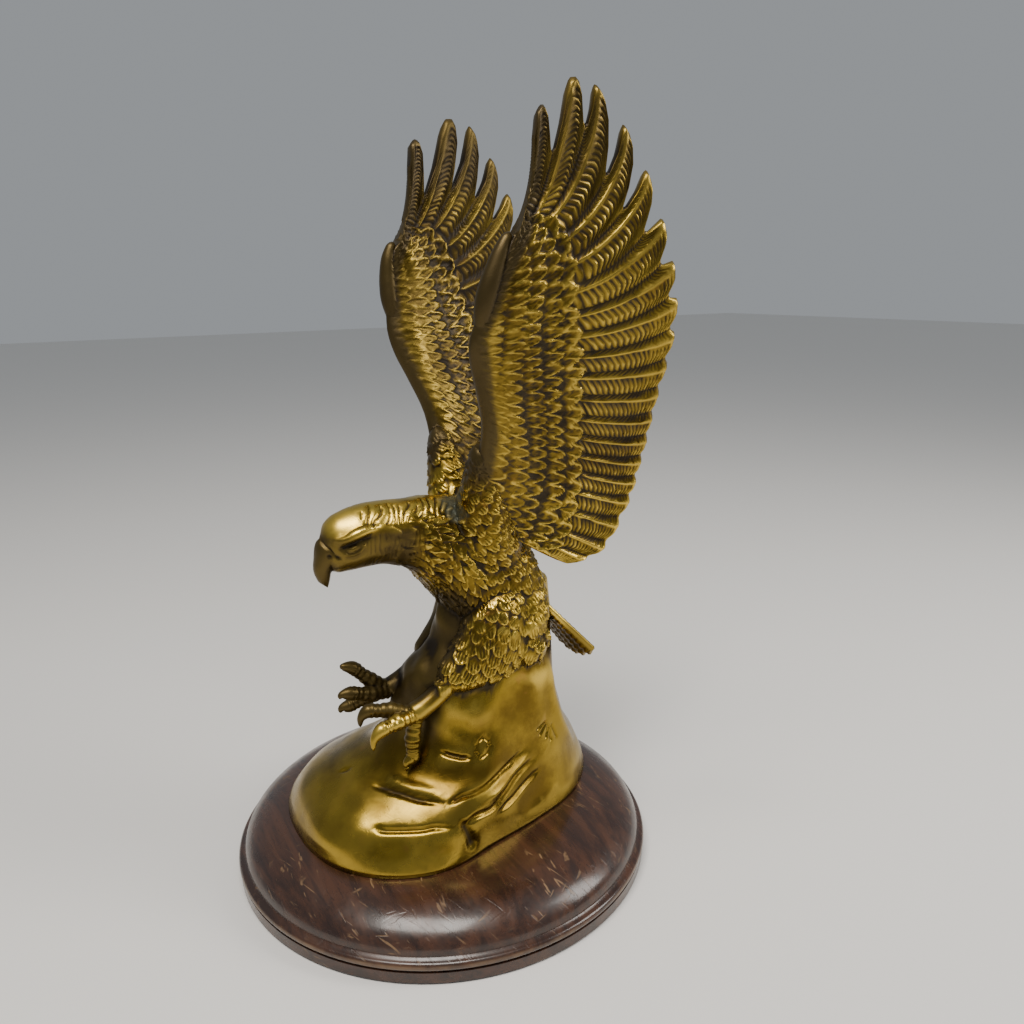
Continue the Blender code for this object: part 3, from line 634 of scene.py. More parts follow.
def build_wing(name, side):
    offsets = np.concatenate([VANE_COLUMNS] * FEATHERS + [[0.5]])
    middles = np.concatenate([np.repeat(np.arange(1, FEATHERS + 1), len(VANE_COLUMNS)), [FEATHERS]])
    barb_rows = BARBS_FROM + (BARBS_TO - BARBS_FROM) * np.arange(BARBS * 5) / (BARBS * 5)
    rows = np.concatenate([ARM_SHARES, COVERT_SHARES, barb_rows, [BARBS_TO, 0.983, 0.99, 0.996, 1.0]])
    beats = np.zeros(len(rows))
    first_barb = len(ARM_SHARES) + len(COVERT_SHARES)
    beats[first_barb : first_barb + BARBS * 5] = np.tile(BARB_BEAT, BARBS)
    offset, row = np.meshgrid(offsets, rows)
    middle = np.meshgrid(middles, rows)[0]
    beat = np.meshgrid(offsets, beats)[1]
    shift = RACHIS_SHIFT * smooth(row, 0.6, 1.0) * (1 - (2 * offset) ** 2) * (np.abs(offset) < 0.5)
    number = middle + offset + shift
    apart = np.abs(2 * (number - middle))
    notches = FAR_NOTCHES if side < 0 else NEAR_NOTCHES
    notch = through(notches, number)[..., 0] * through(FEATHER_END, apart)[..., 0]
    ahead = offset - RACHIS_AT
    sweep = BARB_SWEEP * np.where(ahead > 0, ahead / (0.5 - RACHIS_AT), -ahead / (0.5 + RACHIS_AT))
    sweep = sweep * smooth(row, BARBS_FROM, BARBS_FROM + 0.15) * smooth(row, 1.0, 0.65)
    reach = row + sweep - notch * np.clip((row - 0.3) / 0.7, 0, 1)
    place = feather_line(number, reach)
    lean = FAR_WING_LEAN if side < 0 else 0
    share = (1 - reach) * smooth(number, *LEAN_AT_ROOT) + reach * smooth(number, *LEAN_AT_TIP)
    back = place[..., 0] - lean * share
    up = place[..., 1]
    middle_sheet = np.stack([wing_sheet_x(back, up), back, up], axis=-1)
    across = np.cross(np.gradient(middle_sheet, axis=0), np.gradient(middle_sheet, axis=1))
    across /= np.linalg.norm(across, axis=-1)[..., None]
    across *= np.where(across[..., :1] < 0, -1, 1)
    half = FEATHER_THICKNESS + (TIP_THICKNESS - FEATHER_THICKNESS) * reach
    half = half + (ARM_THICKNESS - FEATHER_THICKNESS) * smooth(reach, 0.3, 0.08)
    half = half / 2 * np.sqrt(1 - (1 - np.clip(row / 0.055, 0, 1)) ** 2)
    from_side = np.minimum(number - 0.5, FEATHERS + 0.5 - number)
    edges = np.minimum(np.clip((1 - row) / 0.022, 0, 1), np.clip(from_side / 0.16, 0, 1))
    edges = np.sqrt(1 - (1 - edges) ** 2)
    half = np.maximum(half * np.maximum(edges, 0.2), THINNEST_HALF)
    coverts, covert_share = covert_relief(number, reach, FAR_COVERTS if side < 0 else NEAR_COVERTS)
    relief = flight_relief(offset, beat) * smooth(covert_share, 0.75, 0.95) * smooth(row, 1.0, 0.97)
    relief = np.maximum(relief, coverts * smooth(number, 0.5, 0.8)) * np.minimum(edges * 1.3, 1)
    faces = []
    for face in (1, -1):
        grid = middle_sheet + face * across * (half + relief - RELIEF_SUNK * edges)[..., None]
        grid[..., 0] = BIRD_X + side * grid[..., 0]
        grid[..., 2] = np.minimum(grid[..., 2], WING_TOP - WING_CLIP)
        faces.append(grid)
    shape = sheet(name, *faces)
    apply_modifier(shape, "DECIMATE", ratio=NEAR_FACES_KEPT if side > 0 else FAR_FACES_KEPT)
    return shape


near_wing = build_wing("near_wing", 1)
far_wing = build_wing("far_wing", -1)

# The thumb feathers: a smooth bar along each hand, free at its tip. The bar's course is given by back,
# up, and its share of the far wing's lean.
ALULA = ((-0.002, 0.224, 0.0), (-0.001, 0.236, 0.3), (0.0035, 0.249, 0.8), (0.0075, 0.2575, 1.0))
ALULA_RADII = (0.0024, 0.0038, 0.0032, 0.0018)
alulas = []
for side in (1, -1):
    lean = FAR_WING_LEAN if side < 0 else 0
    path = []
    for back, up, share in ALULA:
        path.append((BIRD_X + side * float(wing_sheet_x(back, up)), back - lean * share, up))
    alulas.append(tube("alula", path, ALULA_RADII, around=20, steps=40))

# The bird's body: head, neck, trunk, shoulders and thighs flow into each other, covered in feathers
# that lie like tiles: long crossing ones on the neck, short barbed ones on the breast, tufts on the thighs.
# Rings of trunk and beak: back, up, half width, half height
TRUNK = (
    (-0.0508, 0.148, 0.0035, 0.005),
    (-0.0495, 0.1478, 0.0065, 0.0082),
    (-0.0475, 0.1478, 0.0084, 0.0102),
    (-0.043, 0.1486, 0.01, 0.0114),
    (-0.036, 0.1496, 0.011, 0.0121),
    (-0.027, 0.1496, 0.0113, 0.0124),
    (-0.018, 0.1477, 0.0122, 0.0138),
    (-0.009, 0.1428, 0.0147, 0.0188),
    (0.002, 0.134, 0.0175, 0.025),
    (0.014, 0.127, 0.019, 0.0285),
    (0.026, 0.1215, 0.0185, 0.0258),
    (0.034, 0.116, 0.0155, 0.0205),
    (0.0395, 0.111, 0.0115, 0.0145),
    (0.0425, 0.107, 0.0065, 0.0085),
)
SHOULDER = (
    (0.004, 0.018, 0.13), (0.0085, 0.013, 0.143), (0.0125, 0.0095, 0.156), (0.016, 0.008, 0.17),
    (0.02, 0.0065, 0.184),
)
SHOULDER_RADII = (0.013, 0.013, 0.01, 0.0065, 0.0035)
LEG_SPREAD = 0.013
THIGH = (
    (-0.006, 0.024, 0.12), (-0.001, 0.017, 0.108), (0, 0.01, 0.0975), (0, 0.0005, 0.0905),
    (0, -0.009, 0.0855),
)
THIGH_RADII = (0.009, 0.011, 0.0102, 0.0078, 0.0052)
THIGH_DEPTH_RATIO = 1.4
HIP = ((-0.006, 0.025, 0.12), (-0.0045, 0.026, 0.108), (-0.004, 0.025, 0.097), (-0.006, 0.023, 0.088))
HIP_RADII = (0.01, 0.0118, 0.0114, 0.007)
HIP_DEPTH_RATIO = 1.2
SHANK = ((0, 0.002, 0.089), (0, -0.009, 0.085), (0, -0.018, 0.08), (0, -0.0245, 0.077))
SHANK_RADII = (0.005, 0.0042, 0.0042, 0.0046)
BEAK = (
    (-0.0455, 0.1462, 0.0068, 0.009),
    (-0.0485, 0.145, 0.006, 0.0066),
    (-0.0507, 0.142, 0.0048, 0.004),
    (-0.0515, 0.1385, 0.0036, 0.0034),
    (-0.0512, 0.1345, 0.0022, 0.0022),
)
BEAK_TIP = (-0.0499, 0.1312)
BROW = (
    (0.0062, -0.049, 0.1515), (0.0083, -0.046, 0.1513), (0.0092, -0.0435, 0.1518),
    (0.0098, -0.0405, 0.1532), (0.01, -0.036, 0.1545), (0.0098, -0.03, 0.1545),
)
BROW_RADII = (0.0008, 0.0014, 0.0019, 0.0021, 0.0016, 0.0006)
# The line between forehead and beak, the mouth, the nostril and the eyelid's crease: half width and
# depth, then the course
FACE_CUTS = (
    (0.0006, 0.00075, (0.001, -0.052, 0.1512), (0.0035, -0.0514, 0.1496), (0.0054, -0.05, 0.1478),
        (0.0064, -0.048, 0.1456), (0.0068, -0.046, 0.1445)),
    (0.0005, 0.00035, (0.0045, -0.0485, 0.1392), (0.0058, -0.0462, 0.1402), (0.0072, -0.043, 0.1412)),
    (0.0005, 0.0007, (0.005, -0.0505, 0.1455), (0.0054, -0.0497, 0.145)),
    (0.0006, 0.001, (0.007, -0.047, 0.1484), (0.0086, -0.044, 0.1491), (0.0096, -0.04, 0.1504),
        (0.0102, -0.035, 0.1516)),
)
BODY_GRAIN = 0.00042
BLEND_SMOOTHINGS = 30
ALL_SMOOTHINGS = 3
BODY_FACES_KEPT = 0.26
# Feathers of the neck and of the breast, and what the thighs' have more: spacing, length, half width, rise
NECK_FEATHER = (0.0024, 0.0105, 0.0016, 0.0011)
BREAST_FEATHER = (0.0029, 0.0066, 0.0027, 0.00095)
THIGH_MORE = (0.0012, 0.0026, 0.0011, 0.0006)
NECK_END = 0.006
FEATHER_JITTER = 0.0004
BARB_SPACING = 0.0012
CROWN_CUT = 0.00075
CROWN_CUT_SPACING = 0.0024
CHEEK_CUT = 0.00036
CHEEK_CUT_SPACING = 0.0017
EYE = (-0.0423, 0.1476)
EYE_AXIS = (0.95, 0.31)
EYE_HALF_LENGTH = 0.0027
EYE_HALF_HEIGHT = 0.0015
SOCKET_DEPTH = 0.0015
EYEBALL_RISE = 0.00135
LOWER_LID_RISE = 0.00075


def trunk_place(back, angle):
    """A point on the plain trunk, at a distance back and an angle round it from the bird's left."""
    height, half_width, half_height = np.moveaxis(through(TRUNK, back), -1, 0)
    sideways = BIRD_X + half_width * np.cos(angle)
    return np.stack([sideways, back + 0 * angle, height + half_height * np.sin(angle)], axis=-1)


def mirrored(path, side):
    return [(BIRD_X + side * x, y, z) for x, y, z in path]


def leg_path(path, side):
    return [(BIRD_X + side * (LEG_SPREAD + x), y, z) for x, y, z in path]


backs = np.linspace(TRUNK[0][0], TRUNK[-1][0], 60)
turns = np.linspace(0, 2 * pi, 48, endpoint=False)
limbs = [loft("trunk", [trunk_place(np.full(48, back), turns) for back in backs])]
stations = evenly(BEAK, 30)
centres = np.column_stack([np.full(30, BIRD_X), stations[:, 0], stations[:, 1]])
along = np.gradient(centres, axis=0)
along /= np.linalg.norm(along, axis=1)[:, None]
rise = np.cross(along, (1.0, 0.0, 0.0))
rings = [
    centre + wide * np.cos(turns)[:, None] * (1, 0, 0) + high * np.sin(turns)[:, None] * up
    for centre, up, (wide, high) in zip(centres, rise, stations[:, 2:])
]
limbs.append(loft("beak", rings, end=(BIRD_X, *BEAK_TIP)))
for side in (1, -1):
    limbs.append(tube("shoulder", mirrored(SHOULDER, side), SHOULDER_RADII, around=32))
    limbs.append(tube("brow", mirrored(BROW, side), BROW_RADII, around=16))
    limbs.append(tube("thigh", leg_path(THIGH, side), THIGH_RADII, around=32, flat=THIGH_DEPTH_RATIO))
    limbs.append(tube("hip", leg_path(HIP, side), HIP_RADII, around=32, flat=HIP_DEPTH_RATIO))
    limbs.append(tube("shank", leg_path(SHANK, side), SHANK_RADII, around=24))
body = limbs[0]
choose(body)
for limb in limbs:
    limb.select_set(True)
bpy.ops.object.join()
apply_modifier(body, "REMESH", mode="VOXEL", voxel_size=BODY_GRAIN)
points, normals = points_of(body.data)
soft = body.vertex_groups.new(name="soft")
weights = smooth(points[:, 1], -0.04, -0.028) * smooth(points[:, 2], 0.08, 0.092)
for level in range(1, 11):
    chosen = np.flatnonzero(np.round(weights * 10) == level)
    soft.add(chosen.tolist(), level / 10, "REPLACE")
apply_modifier(body, "SMOOTH", factor=0.5, iterations=BLEND_SMOOTHINGS, vertex_group="soft")
apply_modifier(body, "SMOOTH", factor=0.5, iterations=ALL_SMOOTHINGS)


def feather_flow(place):
    """The way the feathers point on the body: back along the neck, down the breast and thighs."""
    neck = np.array((0.0, 0.95, -0.3))
    shoulder = np.array((0.0, 0.8, -0.6))
    breast = np.array((0.0, 0.35, -0.94))
    thigh = np.array((0.0, -0.45, -0.9))
    low = smooth(place[2], 0.145, 0.12)
    flow = shoulder + (breast - shoulder) * low
    flow = flow + (thigh - flow) * smooth(place[2], 0.112, 0.098)
    return flow + (neck - flow) * smooth(place[1], -0.006, -0.018)


sites = []
row = 0
for back in np.arange(-0.0285, 0.036, 0.0027):
    neck = back < NECK_END
    width = 0.003 if neck else 0.0044
    girth = 2 * pi * float(through(TRUNK, back)[1:].mean())
    count = int(girth / (width * 0.92))
    for turn in (np.arange(count) + 0.5 * (row % 2)) * 2 * pi / count:
        sites.append((trunk_place(np.array(back), np.array(turn)), neck))
    row += 1
for side in (1, -1):
    for path, radii, flat, steps in (
        (mirrored(SHOULDER, side), SHOULDER_RADII, 1.0, 16),
        (leg_path(THIGH, side), THIGH_RADII, THIGH_DEPTH_RATIO, 13),
        (leg_path(HIP, side), HIP_RADII, HIP_DEPTH_RATIO, 11),
    ):
        fine = evenly(np.column_stack([path, radii]), steps)
        for step in range(steps):
            count = max(int(2 * pi * fine[step, 3] / 0.0042), 4)
            ring, _ = tube_rings(fine[:, :3], fine[:, 3], count, flat)
            sites += [(place, False) for place in ring[step]]

points, normals = points_of(body.data)
tree_of_points = kdtree.KDTree(len(points))
for index, point in enumerate(points):
    tree_of_points.insert(point, index)
tree_of_points.balance()
relief = np.zeros(len(points))
accepted = []
draws = np.random.default_rng(4)
for place, neck in sites:
    place = place + draws.normal(size=3) * FEATHER_JITTER
    found, index, distance = tree_of_points.find(place)
    place = np.array(found)
    leg = float(smooth(place[2], 0.112, 0.1))
    apart, length, width, lift = NECK_FEATHER
    if not neck:
        apart, length, width, lift = [size + more * leg for size, more in zip(BREAST_FEATHER, THIGH_MORE)]
    if distance > 0.0025:
        continue
    if accepted and np.min(np.linalg.norm(np.array(accepted) - place, axis=1)) < apart:
        continue
    accepted.append(place)
    length *= draws.uniform(0.88, 1.12)
    width *= draws.uniform(0.88, 1.12)
    lift *= draws.uniform(0.8, 1.15)
    normal = normals[index]
    flow = feather_flow(place) + draws.normal(size=3) * (0.34 if neck else 0.12)
    flow -= normal * (flow @ normal)
    flow /= np.linalg.norm(flow)
    side_way = np.cross(normal, flow)
    near = np.array([found[1] for found in tree_of_points.find_range(place, length)])
    offset = points[near] - place
    along_share = (offset @ flow) / length + 0.45
    across = offset @ side_way
    if neck:
        outline = np.clip(np.sin(pi * np.clip(along_share, 0, 1)), 0, 1) ** 0.8
    else:
        outline = np.sqrt(np.clip(1 - np.clip((along_share - 0.5) / 0.5, 0, 1.2) ** 2, 0, 1))
        outline = outline * smooth(along_share, -0.1, 0.25)
    inside = outline - np.abs(across) / width
    height = lift * (0.3 + 0.7 * along_share) * (1 - 0.35 * (across / width) ** 2)
    height = height + 0.34 * lift * np.exp(-(((inside - 0.22) / 0.15) ** 2)) * smooth(along_share, 0.2, 0.5)
    if not neck:
        barb = np.cos(2 * pi * across / BARB_SPACING)
        height = height + 0.26 * lift * barb * smooth(along_share, 0.4, 0.65) * smooth(inside, 0.05, 0.25)
    on_feather = (along_share > 0) * (along_share < 1) * (np.abs(offset @ normal) < 0.5 * length)
    height = height * smooth(inside, 0.0, 0.22) * on_feather
    relief[near] = np.maximum(relief[near], height)

sideways, back, up = np.abs(points[:, 0] - BIRD_X), points[:, 1], points[:, 2]
covered = smooth(back, -0.03, -0.024) * smooth(up, 0.0835, 0.088)
covered = covered * (0.4 + 0.6 * smooth(back, -0.017, -0.012))
far_thigh = smooth(BIRD_X - points[:, 0], 0.0, 0.004) * smooth(up, 0.124, 0.116)
covered = covered * (1 - far_thigh * smooth(back, 0.03, 0.022))
crown = smooth(up, 0.1535, 0.157)
crown = crown * smooth(back, -0.041, -0.035) * smooth(back, 0.004, -0.006)
relief = relief * covered * (1 - 0.9 * crown)
stroke = back * 0.82 - up * 0.58 + 0.001 * wobble(points, 0.008, 3)
strokes = np.clip(np.cos(2 * pi * stroke / CROWN_CUT_SPACING), 0, 1) ** 2
strokes = strokes * crown * smooth(sideways, 0.0015, 0.004) * smooth(wobble(points, 0.005, 5), -0.7, 0.1)
relief -= CROWN_CUT * strokes
long_way = (back - EYE[0]) * EYE_AXIS[0] + (up - EYE[1]) * EYE_AXIS[1]
short_way = -(back - EYE[0]) * EYE_AXIS[1] + (up - EYE[1]) * EYE_AXIS[0]
ellipse = np.sqrt((long_way / EYE_HALF_LENGTH) ** 2 + (short_way / EYE_HALF_HEIGHT) ** 2)
on_face = smooth(sideways, 0.004, 0.006)
relief -= on_face * SOCKET_DEPTH * np.exp(-((ellipse / 1.8) ** 2))
relief += on_face * EYEBALL_RISE * np.exp(-((ellipse / 0.72) ** 2))
lower_lid = np.exp(-(((ellipse - 1.35) / 0.24) ** 2)) * smooth(short_way, 0.0008, -0.0004)
relief += on_face * LOWER_LID_RISE * lower_lid
# Small curved strokes behind the eye and along the cheek
cheek = smooth(back, -0.0385, -0.036) * smooth(back, -0.012, -0.016)
cheek = cheek * smooth(up, 0.1535, 0.1515) * smooth(up, 0.1375, 0.14)
bow = back - 12 * (up - 0.1455) ** 2 + 0.0008 * wobble(points, 0.005, 8)
bows = np.clip(np.cos(2 * pi * bow / CHEEK_CUT_SPACING), 0, 1) ** 2
relief -= CHEEK_CUT * cheek * on_face * bows * smooth(wobble(points, 0.004, 9), -0.5, 0.3)
points = points + normals * relief[:, None]
set_points(body.data, points)
for side in (1, -1):
    points, normals = points_of(body.data)
    for width, depth, *line in FACE_CUTS:
        points = carve(points, normals, mirrored(line, side), width, depth, 0.15)
    set_points(body.data, points)
apply_modifier(body, "DECIMATE", ratio=BODY_FACES_KEPT)

# The feet: three scaled toes with a hooked claw on each, brass like the legs they were cast with, and
# free of the rock except where their soles grip it.
PALM = (-0.0225, 0.077)
TOE_RADIUS = 0.003
TOE_SWELL = (1.3, 1.0, 1.1, 0.9, 0.95, 0.55, 0.2)
TOE_RINGS = 12
TOE_RING_SWELL = 0.055
# Each toe: its first joint, last joint and claw tip, as distances sideways, forward and up from the palm
NEAR_TOES = (
    ((0.0035, 0.009, 0.001), (0.0055, 0.0165, 0.0005), (0.0065, 0.0205, -0.0065)),
    ((-0.0025, 0.0095, 0.0035), (-0.0035, 0.018, 0.005), (-0.004, 0.0215, -0.001)),
    ((0.001, 0.002, -0.0095), (0.0015, 0.0025, -0.017), (0.0015, 0.0055, -0.0225)),
)
FAR_TOES = (
    ((0.0, 0.0085, 0.0065), (0.0, 0.0155, 0.0135), (-0.0005, 0.021, 0.015)),
    ((-0.0035, 0.01, 0.002), (-0.0055, 0.019, 0.0055), (-0.006, 0.024, 0.0045)),
    ((0.003, 0.009, -0.0025), (0.0045, 0.0165, -0.005), (0.005, 0.0205, -0.0075)),
)


def toe_ringed(at):
    """The swelling of the scales round a toe at shares of its length."""
    return TOE_RING_SWELL * np.cos(at * 2 * pi * TOE_RINGS + 2.5 * np.sin(at * 9)) * smooth(at, 0.7, 0.62)


toes = []
for side, foot_toes in ((1, NEAR_TOES), (-1, FAR_TOES)):
    for joints in foot_toes:
        palm = np.array([BIRD_X + side * LEG_SPREAD, *PALM])
        first, last, claw = (palm + (side * sideways, -forward, up) for sideways, forward, up in joints)
        hook = (last + claw) / 2 + (0, -0.0012, 0.0008)
        path = [palm, (palm + first) / 2, first, (first + last) / 2, last, hook, claw]
        toes.append(tube("toe", path, TOE_RADIUS * np.array(TOE_SWELL), 16, 60, ringed=toe_ringed))

# The tail: a thin brass fan of feathers, cast with the body at its root and pointing down and back
# behind the rock.
TAIL_ROOT = (0.0385, 0.112)
TAIL_ROOT_HALF_WIDTH = 0.007
TAIL_HALF_WIDTH = 0.0165
TAIL_THICKNESS = 0.0032
TAIL_BACK = 0.0235
TAIL_DROP = 0.033
TAIL_SCALLOP = 0.0016
TAIL_VANE_RISE = 0.0005
TAIL_BARB_RISE = 0.0003
TAIL_FACES_WAY = (0.0, 0.8, 0.6)
share, place_across = np.meshgrid(np.linspace(0, 1, 44), np.linspace(-1, 1, 61), indexing="ij")
half_width = TAIL_ROOT_HALF_WIDTH + (TAIL_HALF_WIDTH - TAIL_ROOT_HALF_WIDTH) * share
vane = np.abs(np.cos(place_across * 3 * pi))
scallop = TAIL_SCALLOP * vane * share
barbs = np.cos(2 * pi * (share * 12 - vane * 0.5)) * smooth(share, 0.1, 0.3) * (1 - vane**4)
ridge = TAIL_VANE_RISE * vane * share + TAIL_BARB_RISE * barbs
edge = np.clip(np.minimum((1 - share) / 0.05, (1 - np.abs(place_across)) / 0.1), 0, 1)
edge = np.sqrt(1 - (1 - edge) ** 2)
half = (TAIL_THICKNESS / 2 - 0.0003 + ridge) * np.maximum(edge, 0.2)
middle = np.stack(
    [
        BIRD_X + half_width * place_across,
        TAIL_ROOT[0] + TAIL_BACK * share - 0.001 * share * place_across**2,
        TAIL_ROOT[1] - TAIL_DROP * share + 0.006 * place_across**2 * share + scallop,
    ],
    axis=-1,
)
normal = np.array(TAIL_FACES_WAY)
tail = sheet("tail", middle + normal * half[..., None], middle - normal * half[..., None])

# The finished casting: its limbs are united, and its hollows and rubbed edges are measured for the patina.
# The brass was left dark along the wings' front edges, and the face, beak and tail are made darker.
# The wall under the chest (up, back) and the far wing are darkened with painted shade.
# A grey patch shows where the neck was mended with solder.
WING_FRONT = (
    (0.156, 0.004), (0.187, 0.004), (0.204, -0.001), (0.2225, -0.006), (0.2415, 0.0005),
    (0.257, 0.009), (0.2685, 0.013), (0.29, 0.015),
)
CHEST_WALL = (
    (0.072, -0.0241), (0.0776, -0.0229), (0.0821, -0.019), (0.0898, -0.0175), (0.0944, -0.0124),
    (0.1028, -0.0071), (0.1177, -0.0057),
)
SOLDER = (0.0195, 0.0045, 0.157)
SOLDER_RADIUS = 0.012
SOLDER_CORE = 0.0085
# How dark the film lies: tarnish on the near wing, painted shade on the far wing and under the chest, and a
# darker face, beak and tail
NEAR_WING_TARNISH = 0.28
FAR_WING_PAINTED_SHADE = 0.6
UNDER_CHEST_PAINTED_SHADE = 0.92
FACE_DARKENING = 0.8
BEAK_DARKENING = 0.92
TAIL_DARKENING = 0.5
# How far the surface stands in or out of its surroundings where the patina is darkest or brightest
HOLLOW_FROM = 0.00002
HOLLOW_FULL = 0.00024
ROCK_HOLLOW_FROM = 0.00016
ROCK_HOLLOW_MORE = 0.00022
RUBBED_FROM = 0.00006
RUBBED_FULL = 0.00026
SMOOTHINGS = 6
eagle = body
eagle.name = "eagle_casting"
for limb in [rock, near_wing, far_wing, tail, *alulas, *toes]:
    apply_modifier(eagle, "BOOLEAN", operation="UNION", solver="MANIFOLD", object=limb)
    bpy.data.objects.remove(limb)


def neighbour_mean(values, edges, counts):
    total = np.zeros_like(values)
    np.add.at(total, edges[:, 0], values[edges[:, 1]])
    np.add.at(total, edges[:, 1], values[edges[:, 0]])
    return total / (counts[:, None] if values.ndim > 1 else counts)


points, normals = points_of(eagle.data)
edges = np.empty(len(eagle.data.edges) * 2, int)
eagle.data.edges.foreach_get("vertices", edges)
edges = edges.reshape(-1, 2)
counts = np.maximum(np.bincount(edges.ravel(), minlength=len(points)), 1)
base = points.copy()
for _ in range(SMOOTHINGS):
    base = neighbour_mean(base, edges, counts)
proud = np.einsum("ij,ij->i", points - base, normals)
proud = 0.5 * proud + 0.5 * neighbour_mean(proud, edges, counts)
on_rock = smooth(points[:, 2], 0.082, 0.074)
hollow_full = HOLLOW_FULL + ROCK_HOLLOW_MORE * on_rock
recess = smooth(-proud - ROCK_HOLLOW_FROM * on_rock, HOLLOW_FROM, hollow_full)
sideways, back, up = points[:, 0] - BIRD_X, points[:, 1], points[:, 2]
wing = smooth(np.abs(sideways), 0.01, 0.014) * smooth(up, 0.16, 0.175)
front_edge = np.interp(up, [row[0] for row in WING_FRONT], [row[1] for row in WING_FRONT])
front_edge = front_edge - FAR_WING_LEAN * (sideways < 0) * smooth(up, 0.218, 0.256)
tarnish_and_shade = wing * smooth(back - front_edge, 0.007, 0.0035)
# The upper feathers are darker too, and the far wing's are darker still as painted shade.
tarnish_and_shade = np.maximum(tarnish_and_shade, wing * smooth(up, 0.25, 0.285) * (0.72 + 0.18 * (sideways < 0)))
wall = np.interp(up, [row[0] for row in CHEST_WALL], [row[1] for row in CHEST_WALL])
# Painted shade: the wall under the chest, which the bird's body shadows, is darkened in colour.
under_chest_shade = smooth(back - wall, 0.02, 0.008) * smooth(sideways, 0.019, 0.013)
under_chest_shade = under_chest_shade * smooth(up, 0.055, 0.07) * smooth(up, 0.133, 0.12)
# The side of the face, the beak and the tail are made darker.
face = smooth(back, -0.012, -0.022) * smooth(up, 0.1545, 0.1515) * smooth(up, 0.12, 0.125)
# The near wing gets a light tarnish film. The far wing, which the near wing shadows, is darkened as painted
# shade.
wing_film_and_far_wing_shade = np.where(sideways < 0, FAR_WING_PAINTED_SHADE, NEAR_WING_TARNISH)
on_beak = smooth(back, -0.048, -0.0505) * smooth(up, 0.12, 0.125) * smooth(up, 0.156, 0.151)
on_tail = smooth(back, 0.046, 0.052) * smooth(up, 0.12, 0.115) * smooth(up, 0.07, 0.078)
darkened = ((UNDER_CHEST_PAINTED_SHADE, under_chest_shade), (FACE_DARKENING, face), (wing_film_and_far_wing_shade, wing), (BEAK_DARKENING, on_beak))
for film, where in (*darkened, (TAIL_DARKENING, on_tail)):
    tarnish_and_shade = np.maximum(tarnish_and_shade, film * where)
rubbed = smooth(proud, RUBBED_FROM, RUBBED_FULL) * (1 - 0.85 * tarnish_and_shade) * (1 - 0.75 * on_rock)
solder_place = np.linalg.norm(points - np.array(SOLDER), axis=1) + 0.0012 * wobble(points, 0.004, 12)
solder = smooth(solder_place, SOLDER_RADIUS, SOLDER_CORE)
feathers = np.linspace(0.5, FEATHERS + 0.5, 60)
covert_line = feather_line(feathers, through(COVERT_EDGE, feathers)[..., 0])
covert_line = covert_line[np.argsort(covert_line[:, 1])]
chased = wing * smooth(back - np.interp(up, covert_line[:, 1], covert_line[:, 0]), 0.002, -0.002)
plumage = smooth(np.abs(sideways), 0.036, 0.032) * smooth(back, -0.014, -0.01)
plumage = plumage * smooth(up, 0.092, 0.1) * smooth(up, 0.182, 0.176)
chased = np.maximum(chased, plumage * (1 - under_chest_shade)) * np.where(sideways > 0, 1 - 0.8 * tarnish_and_shade, 0.3)
patina = {"recess": recess, "rubbed": rubbed, "tarnish_and_shade": tarnish_and_shade, "solder": solder, "chased": chased}
for name, values in patina.items():
    layer = eagle.data.attributes.new(name, "FLOAT", "POINT")
    layer.data.foreach_set("value", values.astype(np.float32))
for polygon in eagle.data.polygons:
    polygon.use_smooth = True

BRASS_BROWN = (0.135, 0.083, 0.012, 1)
BRASS_GOLD = (0.31, 0.205, 0.025, 1)
BRASS_COPPER = (0.33, 0.15, 0.045, 1)
BRASS_RUBBED = (0.74, 0.515, 0.09, 1)
# Dark brass for tarnish, also laid on as painted shade
BRASS_TARNISH_AND_SHADE = (0.05, 0.034, 0.012, 1)
BRASS_HOLLOW = (0.012, 0.0065, 0.0018, 1)
SOLDER_GREY = (0.055, 0.062, 0.042, 1)
# The chisel's strokes: their slant, and a stroke's size sideways, back and up in metres
CHISEL_TURN = (0.75, 0.0, 0.0)
CHISEL_STROKE = (0.017, 0.007, 0.0013)
brass, tree, shader, place = new_material("aged_brass")
hollow, edge_rub, dark_film_and_shade, mend, chasing = (
    add_node(tree, "Attribute", attribute_name=name).outputs["Fac"] for name in patina
)
handled = add_node(tree, "Group", {"Place": place, "Fineness": 1.0}, node_tree=marks)
values = {"Vector": place, "Rotation": CHISEL_TURN, "Scale": CHISEL_STROKE}
strokes_place = add_node(tree, "Mapping", values, vector_type="TEXTURE")
strokes = noise(tree, strokes_place.outputs[0], 1.0, 1.0, distortion=0.2)
stroke = times(tree, ranged(tree, strokes, 0.44, 0.6), chasing)
cloud = noise(tree, place, 30.0, 5.0, 0.6)
blotch = noise(tree, place, 75.0, 6.0, 0.7, 0.3)
film = mixed(tree, ranged(tree, cloud, 0.38, 0.64), BRASS_BROWN, BRASS_GOLD)
film = mixed(tree, times(tree, ranged(tree, blotch, 0.6, 0.72), 0.35), film, BRASS_COPPER)
film = mixed(tree, times(tree, combined(tree, "SUBTRACT", chasing, stroke), 0.2), film, BRASS_TARNISH_AND_SHADE)
colour = mixed(tree, times(tree, edge_rub, 0.85), film, BRASS_RUBBED)
